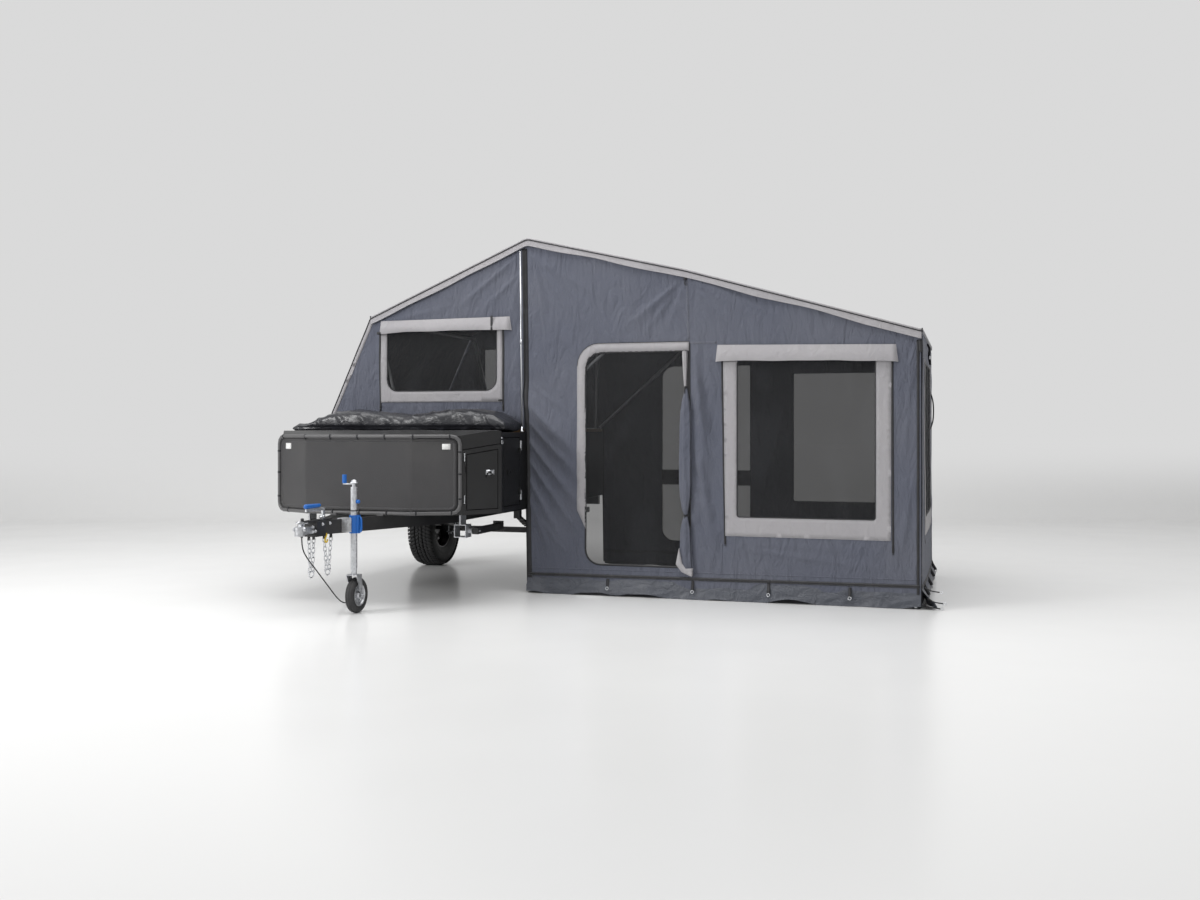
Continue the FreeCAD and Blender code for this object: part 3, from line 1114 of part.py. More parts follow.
keep(group("Skirts", [
    prism("SkirtFront", "YZ_Plane", skirt_points(front_y, -1), "Sizes.ridge_x",
          "Sizes.eave_x - Sizes.ridge_x"),
    prism("SkirtRear", "YZ_Plane", skirt_points(rear_y, 1), "Sizes.ridge_x",
          "Sizes.eave_x - Sizes.ridge_x"),
    prism("SkirtEnd", "XZ_Plane", skirt_points(end_x, 1),
          "-Sizes.gable_y - Sizes.tent_depth", "Sizes.tent_depth"),
]), "tent_skirt")

# Tent frame: four bows of round tube with mitred corners
pole_d = value("pole")
inset = value("canvas") + pole_d / 2 + value("seam_gap")


def bow(x_top, z_roof, x_foot, seat):
    """A bow from its seat up the front wall, along Y under the roof and down the rear wall."""
    z_top = z_roof - value("canvas") - pole_d / 2 - value("pole_drop")
    lean = abs(x_top - x_foot) / math.hypot(x_top - x_foot, z_top - seat)
    z_foot = seat + value("seam_gap") + lean * pole_d / 2
    front = value("gable_y") + inset
    rear = value("gable_y") + value("tent_depth") - inset
    path = Part.makePolygon([V(x_foot, front, z_foot), V(x_top, front, z_top),
                             V(x_top, rear, z_top), V(x_foot, rear, z_foot)])
    return tube(path, pole_d, MITRED)


base_edge = value("base_half") - pole_d / 2
BOWS = {
    "ridge_bow": (value("ridge_x") - value("ridge_pole_inset"), value("ridge_z"),
                  value("ridge_x") - value("ridge_foot_inset"), value("base_z")),
    "mid_bow": (value("kink_x"), value("kink_z"), base_edge - value("mid_foot_inset")
                + pole_d / 2, value("base_z")),
    "knee_bow": (value("knee_x") + value("ridge_pole_inset"), value("knee_z"),
                 value("knee_foot_x"), value("base_z")),
    "eave_bow": (value("eave_x") - value("eave_pole_inset"), value("eave_z"),
                 value("eave_x") - value("eave_pole_inset"), value("floor_wall")),
}
for node, (x_top, z_roof, x_foot, seat) in BOWS.items():
    keep(feature(node.title().replace("_", ""), bow(x_top, z_roof, x_foot, seat)), node)

# Awnings over the windows, on both long walls
awnings = []
for place_name, way, wall_y in (("Front", -1, front_y), ("Rear", 1, rear_y)):
    for kind, margin, rise in (("window", "Sizes.window_awning_margin", "Sizes.awning_rise"),
                               ("bed_window", "Sizes.bed_awning_margin",
                                "Sizes.bed_awning_rise")):
        top = f"(Sizes.{kind}_low + Sizes.{kind}_height + {rise})"
        out = f"{wall_y} + {way} * Sizes.awning_reach"
        awnings.append(prism(
            f"Awning{kind}{place_name}", "YZ_Plane",
            [(wall_y, top), (f"{wall_y} + {way} * Sizes.awning_wall", top),
             (out, f"{top} - Sizes.awning_height"),
             (f"{out} - {way} * Sizes.awning_wall", f"{top} - Sizes.awning_height")],
            f"Sizes.{kind}_x - {margin}", f"Sizes.{kind}_width + 2 * {margin}"))
keep(group("Awnings", awnings), "window_awnings")

# Door flap, rolled back beside the front door and tied at two heights
flap_x = "(Sizes.door_x + Sizes.door_width - Sizes.flap_set)"
flap_low = "(Sizes.door_low - Sizes.flap_drop)"
flap_rise = "(Sizes.door_height + Sizes.flap_drop)"
FLAP_SHAPE = [(0, 1.0), (0.13, 0.9), (0.22, 0.45), (0.3, 1.0), (0.6, 1.0), (0.84, 0.4),
              (1, 0.3)]
flap_side = [(f"Sizes.flap_width / 2 * {share}", f"{flap_low} + {flap_rise} * {rise}")
             for rise, share in FLAP_SHAPE]
keep(prism("DoorFlap", "XZ_Plane",
           [(f"{flap_x} + {x}", z) for x, z in flap_side]
           + [(f"{flap_x} - {x}", z) for x, z in reversed(flap_side)],
           f"-{front_y}", "Sizes.flap_depth"), "door_flap")

# Travel cover, gathered on the front deck
cover_y = "(Sizes.nose_depth + Sizes.cover_gap)"
cover_rear = "(Sizes.gable_y - Sizes.awning_reach - Sizes.cover_gap / 2)"
cover_depth = f"({cover_rear} - {cover_y})"
cover_z = "(Sizes.body_top + Sizes.seam_gap)"
keep(prism("TravelCover", "YZ_Plane", [
    (cover_y, cover_z), (cover_rear, cover_z),
    (cover_rear, f"{cover_z} + Sizes.cover_rear_height"),
    (f"{cover_y} + {cover_depth} * Sizes.cover_crown", f"{cover_z} + Sizes.cover_height"),
    (f"{cover_y} + Sizes.cover_gap / 2", f"{cover_z} + Sizes.cover_front_height")],
    "-Sizes.cover_half", "2 * Sizes.cover_half"), "travel_cover")

doc.recompute()

# Every object is sound before anything is written
problems = []
for obj in doc.Objects:
    if "Invalid" in obj.State or "Error" in obj.State:
        problems.append(f"{obj.Name} {obj.State}")
for node, obj in subparts.items():
    if obj.Shape.isNull() or not obj.Shape.isValid():
        problems.append(f"{node} has no valid shape")
    elif obj.Shape.Volume <= 0:
        problems.append(f"{node} has no volume")
if problems:
    sys.exit("\n".join(problems))

os.makedirs("parts", exist_ok=True)
for node, obj in subparts.items():
    obj.Shape.exportStep(f"parts/{node}.step")
print(len(subparts), "sub-parts; origin", [round(number, 3) for number in origin])
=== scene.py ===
import itertools
import math

import bpy
import numpy as np
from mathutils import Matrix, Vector, geometry, noise


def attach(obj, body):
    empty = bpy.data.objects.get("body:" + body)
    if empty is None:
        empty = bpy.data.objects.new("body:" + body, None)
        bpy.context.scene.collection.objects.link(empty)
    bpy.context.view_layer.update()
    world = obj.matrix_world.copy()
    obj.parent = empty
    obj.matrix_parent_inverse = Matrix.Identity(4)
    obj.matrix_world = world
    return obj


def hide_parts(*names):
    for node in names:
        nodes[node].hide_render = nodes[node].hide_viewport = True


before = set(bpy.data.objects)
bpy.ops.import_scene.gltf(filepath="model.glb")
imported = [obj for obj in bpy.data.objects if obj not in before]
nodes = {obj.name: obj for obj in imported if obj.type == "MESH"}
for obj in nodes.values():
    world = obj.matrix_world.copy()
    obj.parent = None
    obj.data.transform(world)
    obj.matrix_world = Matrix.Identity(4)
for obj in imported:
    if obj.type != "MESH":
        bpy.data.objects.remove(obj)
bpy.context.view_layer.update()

# Points below are in metres from the trailer's centre line, the front of its stone guard
# and the ground. SHIFT takes them to the frame's origin
SHIFT = np.array([1.565, 1.187, 0.0])


def at(x, y, z):
    return Vector((x - SHIFT[0], y - SHIFT[1], z))


def placed(name, data):
    """A new object in the scene."""
    made = bpy.data.objects.new(name, data)
    bpy.context.collection.objects.link(made)
    return made


# ---------------------------------------------------------------- camera
VIEW_TURN = 0.301
camera_data = bpy.data.cameras.new("Camera")
camera_data.lens = camera_data.sensor_width = 36
camera_data.shift_y = -0.0178
camera_data.clip_end = 200
camera = placed("Camera", camera_data)
camera.location = at(4.426, -8.104, 1.334)
camera.rotation_euler = (math.radians(90), 0, VIEW_TURN)
bpy.context.scene.camera = camera


# ---------------------------------------------------------------- finishes


class Finish:
    """A procedural material on a Principled shader, built up layer by layer.

    A mask is a socket, or the arguments of a noise as a tuple."""

    def __init__(self, name, color, roughness, metallic=0.0, **fixed):
        self.mat = bpy.data.materials.new(name)
        self.mat.use_nodes = True
        self.tree = self.mat.node_tree
        self.bsdf = self.tree.nodes["Principled BSDF"]
        self.put("Base Color", (*color, 1))
        self.put("Roughness", roughness)
        self.put("Metallic", metallic)
        for socket, number in fixed.items():
            self.put(socket.replace("_", " "), number)
        self.mat.diffuse_color = (*color, 1)
        self.color = color
        self.where = self.new("TexCoord").outputs["Object"]
        self.paint = None

    def new(self, kind, **settings):
        node = self.tree.nodes.new("ShaderNode" + kind)
        for key, setting in settings.items():
            setattr(node, key, setting)
        return node

    def put(self, socket, number):
        self.bsdf.inputs[socket].default_value = number

    def link(self, out, into):
        self.tree.links.new(out, into)

    def sum(self, operation, *items):
        node = self.new("Math", operation=operation)
        for slot, item in zip(node.inputs, items):
            if isinstance(item, (int, float)):
                slot.default_value = item
            else:
                self.link(item, slot)
        return node.outputs[0]

    def noise(self, scale, detail=3.0, stretch=None, distortion=0.0):
        node = self.new("TexNoise")
        node.inputs["Scale"].default_value = scale
        node.inputs["Detail"].default_value = detail
        node.inputs["Distortion"].default_value = distortion
        where = self.where
        if stretch:
            mapping = self.new("Mapping")
            mapping.inputs["Scale"].default_value = stretch
            self.link(where, mapping.inputs["Vector"])
            where = mapping.outputs[0]
        self.link(where, node.inputs["Vector"])
        return node.outputs["Fac"]

    def mask(self, given):
        return self.noise(*given) if isinstance(given, tuple) else given

    def ramp(self, mask, low, high):
        """The mask taken from low..high to 0..1, smoothly."""
        node = self.new("MapRange", interpolation_type="SMOOTHSTEP")
        self.link(self.mask(mask), node.inputs["Value"])
        node.inputs["From Min"].default_value = low
        node.inputs["From Max"].default_value = high
        return node.outputs[0]

    def tint(self, mask, color, amount):
        """Paints a colour over what is there, where the mask is 1."""
        node = self.new("Mix", data_type="RGBA")
        self.link(self.sum("MULTIPLY", mask, amount), node.inputs["Factor"])
        if self.paint is None:
            node.inputs[6].default_value = (*self.color, 1)
        else:
            self.link(self.paint, node.inputs[6])
        node.inputs[7].default_value = (*color, 1)
        self.paint = node.outputs[2]
        self.link(self.paint, self.bsdf.inputs["Base Color"])

    def patches(self, mask, low, high, color, amount):
        self.tint(self.ramp(mask, low, high), color, amount)

    def gloss(self, mask, low, high):
        """Roughness from low to high with the mask."""
        node = self.new("MapRange")
        self.link(self.mask(mask), node.inputs["Value"])
        node.inputs["To Min"].default_value = low
        node.inputs["To Max"].default_value = high
        self.link(node.outputs[0], self.bsdf.inputs["Roughness"])

    def bump(self, mask, distance, strength=1.0):
        node = self.new("Bump")
        node.inputs["Strength"].default_value = strength
        node.inputs["Distance"].default_value = distance
        self.link(self.mask(mask), node.inputs["Height"])
        before = self.bsdf.inputs["Normal"].links
        if before:
            self.link(before[0].from_socket, node.inputs["Normal"])
        self.link(node.outputs[0], self.bsdf.inputs["Normal"])

    def flat(self):
        """Two coordinates in the plane of the surface, from its normal."""
        facing = self.new("SeparateXYZ")
        self.link(self.new("NewGeometry").outputs["True Normal"], facing.inputs[0])
        nx, ny, nz = (self.sum("ABSOLUTE", facing.outputs[i]) for i in range(3))
        spot = self.new("SeparateXYZ")
        self.link(self.where, spot.inputs[0])
        x, y, z = spot.outputs
        level = self.sum("GREATER_THAN", nz, 0.75)
        upright = self.sum("SUBTRACT", 1.0, level)
        a = self.sum("ADD", self.sum("MULTIPLY", x, self.sum("MAXIMUM", ny, level)),
                     self.sum("MULTIPLY", self.sum("MULTIPLY", y, nx), upright))
        b = self.sum("ADD", self.sum("MULTIPLY", z, upright), self.sum("MULTIPLY", y, level))
        return a, b

    def weave(self, pitch, depth, rip=0.0):
        """Threads over and under at a pitch, with thicker ripstop threads."""
        a, b = self.flat()
        turn = 2 * math.pi / pitch
        over = self.sum("MULTIPLY", self.sum("SINE", self.sum("MULTIPLY", a, turn)),
                        self.sum("SINE", self.sum("MULTIPLY", b, turn)))
        self.bump(over, depth)
        if rip:
            lines = [self.sum("GREATER_THAN", self.sum("SINE", self.sum(
                "MULTIPLY", c, 2 * math.pi / rip)), 0.965) for c in (a, b)]
            self.bump(self.sum("MAXIMUM", *lines), depth * 1.2)


def canvas(name, color, dust, sheen=0.15):
    """Dull woven cloth with dust in its low places and small creases."""
    cloth = Finish(name, color, 0.85, Sheen_Weight=sheen, Sheen_Roughness=0.5,
                   Specular_IOR_Level=0.25)
    cloth.patches((1.3, 5.0), 0.35, 0.75, dust, 0.35)
    cloth.patches((55, 2.0), 0.5, 0.9, dust, 0.25)
    cloth.bump((9, 4.0, (1, 1, 0.35), 0.6), 0.006, 0.6)
    cloth.bump((38, 3.0), 0.0015, 0.5)
    cloth.weave(0.0024, 0.0002, 0.011)
    return cloth


wall_cloth = canvas("wall_cloth", (0.101, 0.109, 0.142), (0.15, 0.155, 0.18))
wall_cloth.bump((4.5, 4.0, (1.7, 1, 0.6), 1.6), 0.045, 0.7)
wall_cloth.bump((17, 3.0, (1.5, 1, 0.5), 2.2), 0.011, 0.6)

roof_cloth = canvas("roof_cloth", (0.25, 0.25, 0.262), (0.33, 0.32, 0.32))
trim_cloth = canvas("trim_cloth", (0.35, 0.34, 0.355), (0.42, 0.405, 0.41))
trim_cloth.bump((7, 4.0, (1.4, 1, 0.8), 1.5), 0.020, 0.6)
roof_cloth.bump((3.2, 4.0, (0.8, 1.6, 1), 1.6), 0.040, 0.6)
black_cloth = canvas("black_cloth", (0.016, 0.016, 0.019), (0.04, 0.04, 0.042))
bed_cloth = canvas("bed_cloth", (0.2, 0.21, 0.23), (0.28, 0.28, 0.29), 0.3)


def coated(name, color, roughness, dust):
    """Powder coat over metal: orange peel, dust in the low light and rubbed patches."""
    coat = Finish(name, color, roughness)
    coat.patches((2.2, 6.0), 0.45, 0.8, dust, 0.3)
    coat.patches((90, 2.0, (1, 1, 0.2)), 0.62, 0.8, dust, 0.25)
    coat.gloss((7, 4.0), roughness - 0.06, roughness + 0.1)
    coat.bump((420, 2.0), 0.0004, 0.5)
    return coat


black_coat = coated("black_coat", (0.009, 0.009, 0.0095), 0.42, (0.026, 0.026, 0.027))
chassis_coat = coated("chassis_coat", (0.011, 0.011, 0.012), 0.36, (0.045, 0.042, 0.04))
tube_coat = coated("tube_coat", (0.085, 0.084, 0.086), 0.4, (0.16, 0.155, 0.15))
rim_coat = coated("rim_coat", (0.01, 0.01, 0.011), 0.3, (0.06, 0.055, 0.05))

checker = coated("checker_coat", (0.0018, 0.0018, 0.0020), 0.44, (0.004, 0.004, 0.0045))
tread_a, tread_b = checker.flat()
TREAD_PITCH = 0.030
root = 1 / (TREAD_PITCH * math.sqrt(2))
diagonals = [checker.sum("MULTIPLY", checker.sum(kind, tread_a, tread_b), root)
             for kind in ("ADD", "SUBTRACT")]
squares = [checker.sum("FLOOR", c) for c in diagonals]
centred = [checker.sum("SUBTRACT", checker.sum("FRACT", c), 0.5) for c in diagonals]
parity = checker.sum("ABSOLUTE", checker.sum("MODULO", checker.sum("ADD", *squares), 2.0))


def tread_bar(long_way, short_way):
    length = checker.sum("POWER", checker.sum("DIVIDE", long_way, 0.44), 2.0)
    width = checker.sum("POWER", checker.sum("DIVIDE", short_way, 0.13), 2.0)
    return checker.sum("SUBTRACT", 1.0, checker.sum("ADD", length, width))


bars = checker.sum("ADD",
                   checker.sum("MULTIPLY", tread_bar(*centred), parity),
                   checker.sum("MULTIPLY", tread_bar(*centred[::-1]),
                               checker.sum("SUBTRACT", 1.0, parity)))
bars = checker.ramp(bars, 0.0, 0.5)
# The raised bars are painted a little lighter than the plate between them: a painted highlight
# where they catch the light.
checker.tint(bars, (0.008, 0.008, 0.0085), 0.6)
checker.bump(bars, 0.0016)

galvanised = Finish("galvanised", (0.5, 0.51, 0.53), 0.42, 0.9)
cells = galvanised.new("TexVoronoi")
cells.inputs["Scale"].default_value = 70
galvanised.link(galvanised.where, cells.inputs["Vector"])
spangle = cells.outputs["Color"]
galvanised.patches(spangle, 0.2, 0.9, (0.72, 0.73, 0.75), 0.6)
galvanised.patches((6, 6.0), 0.5, 0.75, (0.32, 0.32, 0.33), 0.5)
galvanised.gloss(spangle, 0.3, 0.55)
galvanised.bump((160, 3.0), 0.0006, 0.4)

drawn_steel = Finish("drawn_steel", (0.6, 0.61, 0.63), 0.3, 1.0)
drawn_steel.patches((9, 4.0), 0.4, 0.8, (0.42, 0.43, 0.45), 0.5)
drawn_steel.gloss((30, 3.0, (1, 1, 0.1)), 0.22, 0.42)
drawn_steel.bump((300, 2.0, (1, 1, 0.05)), 0.0002, 0.4)


def moulded(name, color, roughness, speck):
    """Moulded plastic or rubber: fine grain, a little dust."""
    skin = Finish(name, color, roughness)
    skin.patches((14, 5.0), 0.45, 0.8, speck, 0.35)
    skin.gloss((25, 3.0), roughness - 0.08, roughness + 0.1)
    skin.bump((600, 2.0), 0.0003, 0.5)
    return skin


blue_plastic = moulded("blue_plastic", (0.006, 0.11, 0.42), 0.35, (0.02, 0.16, 0.5))
tyre_rubber = moulded("tyre_rubber", (0.016, 0.016, 0.017), 0.72, (0.05, 0.048, 0.045))
wheel_rubber = moulded("wheel_rubber", (0.02, 0.02, 0.021), 0.6, (0.07, 0.068, 0.065))
lead_rubber = moulded("lead_rubber", (0.012, 0.012, 0.013), 0.48, (0.04, 0.04, 0.04))
zip_nylon = moulded("zip_nylon", (0.014, 0.014, 0.016), 0.6, (0.05, 0.05, 0.055))
lamp_lens = moulded("lamp_lens", (0.45, 0.012, 0.01), 0.18, (0.5, 0.05, 0.03))
white_plastic = moulded("white_plastic", (0.75, 0.75, 0.74), 0.3, (0.6, 0.6, 0.58))
yellow_coat = moulded("yellow_coat", (0.62, 0.42, 0.02), 0.4, (0.4, 0.28, 0.05))
thread = moulded("thread", (0.2, 0.2, 0.215), 0.7, (0.3, 0.3, 0.31))

vinyl = Finish("cover_vinyl", (0.017, 0.0175, 0.022), 0.30, Coat_Weight=0.25, Coat_Roughness=0.3)
vinyl.patches((5, 5.0), 0.5, 0.8, (0.03, 0.032, 0.04), 0.5)
vinyl.gloss((11, 4.0), 0.26, 0.46)
vinyl.bump((26, 5.0, (0.5, 1, 1), 1.4), 0.012, 0.5)
vinyl.bump((220, 2.0), 0.0006, 0.4)

floor_vinyl = Finish("floor_vinyl", (0.05, 0.053, 0.06), 0.55)
floor_vinyl.patches((4, 5.0), 0.45, 0.8, (0.1, 0.1, 0.11), 0.4)
floor_vinyl.bump((12, 4.0), 0.004, 0.5)
floor_vinyl.weave(0.006, 0.0003)

guard_cloth = Finish("guard_cloth", (0.030, 0.029, 0.031), 0.46, Specular_IOR_Level=0.55)
guard_cloth.patches((2.5, 6.0), 0.4, 0.8, (0.07, 0.066, 0.062), 0.4)
guard_cloth.gloss((6, 4.0), 0.4, 0.55)
guard_cloth.weave(0.004, 0.0005)

skirt_vinyl = Finish("skirt_vinyl", (0.062, 0.068, 0.085), 0.42, Specular_IOR_Level=0.55)
skirt_vinyl.bump((9, 4.0, (1, 1, 1.4), 1.8), 0.030, 0.7)
skirt_vinyl.patches((4, 5.0), 0.45, 0.8, (0.13, 0.135, 0.15), 0.45)
skirt_vinyl.bump((16, 4.0, (0.6, 1, 1), 0.8), 0.008, 0.6)
skirt_vinyl.weave(0.003, 0.0002)

net = Finish("insect_net", (0.006, 0.0063, 0.0075), 0.8, Alpha=0.68)
net.patches((3, 4.0), 0.4, 0.8, (0.017, 0.0175, 0.02), 0.5)
net.patches((1.6, 2.0, (2.2, 1, 0.7), 0.8), 0.52, 0.62, (0.020, 0.021, 0.024), 0.5)
net.weave(0.003, 0.0004)

board = Finish("plywood", (0.36, 0.24, 0.13), 0.6)
grain = board.noise(14, 6.0, (0.12, 2.5, 2.5), 1.5)
board.patches(grain, 0.3, 0.75, (0.22, 0.13, 0.06), 0.7)
board.gloss(grain, 0.5, 0.7)
board.bump(grain, 0.0008, 0.5)


# ---------------------------------------------------------------- mesh helpers
SIGNS = list(itertools.product((-1, 1), repeat=3))
CORNER_STEPS = 7
LEFT, AFT, UP = (1, 0, 0), (0, 1, 0), (0, 0, 1)


def merge(parts):
    """Several (points, faces) pairs as one."""
    points, faces, start = [], [], 0
    for some_points, some_faces in parts:
        points.append(np.asarray(some_points, float))
        faces += [tuple(i + start for i in face) for face in some_faces]
        start += len(some_points)
    return np.concatenate(points), faces


def add(name, parts, finish, node=None, body="trailer"):
    """Parts in the trailer's frame as one piece on a body, which may stand for a CAD node."""
    points, faces = merge(parts)
    mesh = bpy.data.meshes.new(name)
    mesh.from_pydata([tuple(p) for p in points - SHIFT], [], faces)
    mesh.update()
    mesh.polygons.foreach_set("use_smooth", [True] * len(mesh.polygons))
    mesh.materials.append(finish.mat)
    piece = placed(name, mesh)
    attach(piece, body)
    if node:
        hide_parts(node)
    return piece


def block(low, high, edge):
    """A box with its twelve edges bevelled."""
    low, high = np.array(low, float), np.array(high, float)
    mid, half = (low + high) / 2, (high - low) / 2
    edge = min(edge, *(half * 0.9))
    points, faces = [], []
    for sign in SIGNS:
        for axis in range(3):
            reach = half - edge
            reach[axis] = half[axis]
            points.append(mid + np.array(sign) * reach)

    def corner(axis, s, sa, sb, on):
        sign = [0, 0, 0]
        sign[axis], sign[(axis + 1) % 3], sign[(axis + 2) % 3] = s, sa, sb
        return 3 * SIGNS.index(tuple(sign)) + on

    for axis in range(3):
        a, b = (axis + 1) % 3, (axis + 2) % 3
        for s in (-1, 1):
            faces.append(tuple(corner(axis, s, sa, sb, axis)
                               for sa, sb in ((-1, -1), (1, -1), (1, 1), (-1, 1)))[::s])
        for sa, sb in itertools.product((-1, 1), repeat=2):
            faces.append((corner(axis, -1, sa, sb, a), corner(axis, 1, sa, sb, a),
                          corner(axis, 1, sa, sb, b), corner(axis, -1, sa, sb, b))[::-sa * sb])
    faces += [(3 * n, 3 * n + 1, 3 * n + 2)[::math.prod(sign)] for n, sign in enumerate(SIGNS)]
    return np.array(points), faces


def frames(path, closed):
    """Two cross directions along a path, carried without twist."""
    path = np.asarray(path, float)
    ahead = np.roll(path, -1, 0) - path
    back = path - np.roll(path, 1, 0)
    if not closed:
        ahead[-1], back[0] = back[-1], ahead[0]
    tangents = ahead / np.linalg.norm(ahead, axis=1)[:, None]
    tangents = tangents + back / np.linalg.norm(back, axis=1)[:, None]
    tangents /= np.linalg.norm(tangents, axis=1)[:, None]
    side = np.cross(tangents[0], (0, 0, 1) if abs(tangents[0][2]) < 0.9 else (0, 1, 0))
    sides = []
    for tangent in tangents:
        side = side - tangent * side.dot(tangent)
        side /= np.linalg.norm(side)
        sides.append(side)
    sides = np.array(sides)
    return sides, np.cross(sides, tangents)


def swept(path, section, closed=False, scales=None):
    """A closed section of (side, up) pairs swept along a path."""
    path = np.asarray(path, float)
    sides, ups = frames(path, closed)
    section = np.asarray(section, float)
    scales = np.ones(len(path)) if scales is None else np.asarray(scales, float)
    rings = [path[i] + scales[i] * (section[:, :1] * sides[i] + section[:, 1:] * ups[i])
             for i in range(len(path))]
    n = len(section)
    faces = []
    for i in range(len(path) if closed else len(path) - 1):
        j = (i + 1) % len(path)
        faces += [(i * n + k, i * n + (k + 1) % n, j * n + (k + 1) % n, j * n + k)
                  for k in range(n)]
    if not closed:
        faces += [tuple(range(n))[::-1], tuple(range((len(path) - 1) * n, len(path) * n))]
    return np.concatenate(rings), faces


def turns(count):
    """Angles once round."""
    return np.linspace(0, 2 * math.pi, count, endpoint=False)


def oval(wide, high, count=8):
    return np.stack([wide * np.cos(turns(count)), high * np.sin(turns(count))], 1)


def circle(radius, count=14):
    return oval(radius, radius, count)


def hoop(centre, by_cos, by_sin, section, count=18):
    """A section swept once round a flat loop."""
    turn = turns(count)[:, None]
    path = np.array(centre) + np.cos(turn) * by_cos + np.sin(turn) * by_sin
    return swept(path, section, closed=True)


def bar(width, height):
    return [(-width / 2, -height / 2), (width / 2, -height / 2), (width / 2, height / 2),
            (-width / 2, height / 2)]


def curved(points, count=8):
    """A smooth path through a few points."""
    points = np.asarray(points, float)
    points = np.concatenate([points[:1] * 2 - points[1:2], points,
                             points[-1:] * 2 - points[-2:-1]])
    out = []
    for p0, p1, p2, p3 in zip(points, points[1:], points[2:], points[3:]):
        for t in np.linspace(0, 1, count, endpoint=False):
            out.append(0.5 * (2 * p1 + (p2 - p0) * t + (2 * p0 - 5 * p1 + 4 * p2 - p3) * t ** 2
                              + (3 * p1 - p0 - 3 * p2 + p3) * t ** 3))
    return np.array([*out, points[-2]])


def bent(points, section, count=8, **how):
    """A section swept along a smooth path."""
    return swept(curved(points, count), section, **how)


def turned(profile, centre, axis, count):
    """A profile of (along, radius) pairs spun about an axis through a centre."""
    axis = np.array(axis, float)
    side = np.cross(axis, (0, 0, 1) if abs(axis[2]) < 0.9 else (1, 0, 0))
    side /= np.linalg.norm(side)
    up = np.cross(axis, side)
    turn = turns(count)[:, None]
    spun = np.cos(turn) * side + np.sin(turn) * up
    rings = [np.array(centre) + axis * a + spun * r for a, r in profile]
    faces = [(i * count + k, i * count + (k + 1) % count, (i + 1) * count + (k + 1) % count,
              (i + 1) * count + k) for i in range(len(profile) - 1) for k in range(count)]
    return np.concatenate(rings), faces


def pin(profile, centre, axis, count):
    """The profile spun and closed on the axis at both ends."""
    return turned([(profile[0][0], 0.0005), *profile, (profile[-1][0], 0.0005)], centre, axis,
                  count)


def capped(rings):
    """Rings of points as a closed skin with flat ends."""
    points, faces = grid([ring + ring[:1] for ring in rings])
    count = len(rings[0])
    last = (len(rings) - 1) * (count + 1)
    return points, faces + [tuple(range(count))[::-1], tuple(last + k for k in range(count))]


def inside(points, ring):
    """Which points lie in a closed ring, both in the plane."""
    x, y = points[:, 0], points[:, 1]
    hit = np.zeros(len(points), bool)
    for (x0, y0), (x1, y1) in zip(ring, np.roll(ring, -1, 0)):
        crosses = (y0 > y) != (y1 > y)
        with np.errstate(divide="ignore", invalid="ignore"):
            hit ^= crosses & (x < (x1 - x0) * (y - y0) / (y1 - y0 if y1 != y0 else 1e-12) + x0)
    return hit


def stepped(ring, pitch):
    """A ring with points along its sides, a pitch apart."""
    out = []
    for a, b in zip(ring, np.roll(ring, -1, 0)):
        count = max(1, round(float(np.linalg.norm(b - a)) / pitch))
        out += [a + (b - a) * i / count for i in range(count)]
    return np.array(out)


def patch(outer, holes, pitch):
    """A flat region as triangles: its edge, its holes' edges and a grid between them."""
    rings = [stepped(np.asarray(ring, float), pitch) for ring in (outer, *holes)]
    low, high = rings[0].min(0), rings[0].max(0)
    xs = np.arange(low[0] + pitch / 2, high[0], pitch)
    ys = np.arange(low[1] + pitch / 2, high[1], pitch * 0.87)
    inner = np.array([(x + (pitch / 2 if row % 2 else 0), y)
                     for row, y in enumerate(ys) for x in xs])
    keep = inside(inner, rings[0])
    for ring in rings[1:]:
        keep &= ~inside(inner, ring)
    inner = inner[keep]
    edge = np.concatenate(rings)
    if len(inner):
        near = np.full(len(inner), 9.0)
        for point in edge:
            near = np.minimum(near, ((inner - point) ** 2).sum(1))
        inner = inner[near > (0.6 * pitch) ** 2]
    points = np.concatenate([edge, inner]) if len(inner) else edge
    sides, start = [], 0
    for ring in rings:
        sides += [(start + i, start + (i + 1) % len(ring)) for i in range(len(ring))]
        start += len(ring)
    flat, _, faces, *_ = geometry.delaunay_2d_cdt(
        [Vector(p) for p in points], sides, [], 0, 1e-6)
    flat = np.array([tuple(p) for p in flat])
    middle = np.array([flat[list(face)].mean(0) for face in faces])
    good = inside(middle, rings[0])
    for ring in rings[1:]:
        good &= ~inside(middle, ring)
    return flat, [tuple(face) for face, ok in zip(faces, good) if ok]


def rounded(x0, z0, x1, z1, radii):
    """A rectangle with a radius at each corner, from low left round to high left."""
    out = []
    corners = ((x0, z0, 1, 1), (x1, z0, -1, 1), (x1, z1, -1, -1), (x0, z1, 1, -1))
    starts = (math.pi, 1.5 * math.pi, 0, 0.5 * math.pi)
    for (x, z, sx, sz), start, radius in zip(corners, starts, radii):
        if radius <= 0:
            out.append((x, z))
            continue
        cx, cz = x + sx * radius, z + sz * radius
        out += [(cx + radius * math.cos(start + t), cz + radius * math.sin(start + t))
                for t in np.linspace(0, math.pi / 2, CORNER_STEPS)]
    return np.array(out)


def ripple(points, scale, seed):
    """Smooth noise from -1 to 1 at points in the plane."""
    return np.array([noise.noise(Vector((a * scale, b * scale, seed))) for a, b in points])


def grid(rows):
    """Quads over a table of points."""
    rows = np.asarray(rows, float)
    n, m = rows.shape[:2]
    faces = [(i * m + k, i * m + k + 1, (i + 1) * m + k + 1, (i + 1) * m + k)
             for i in range(n - 1) for k in range(m - 1)]
    return rows.reshape(-1, 3), faces


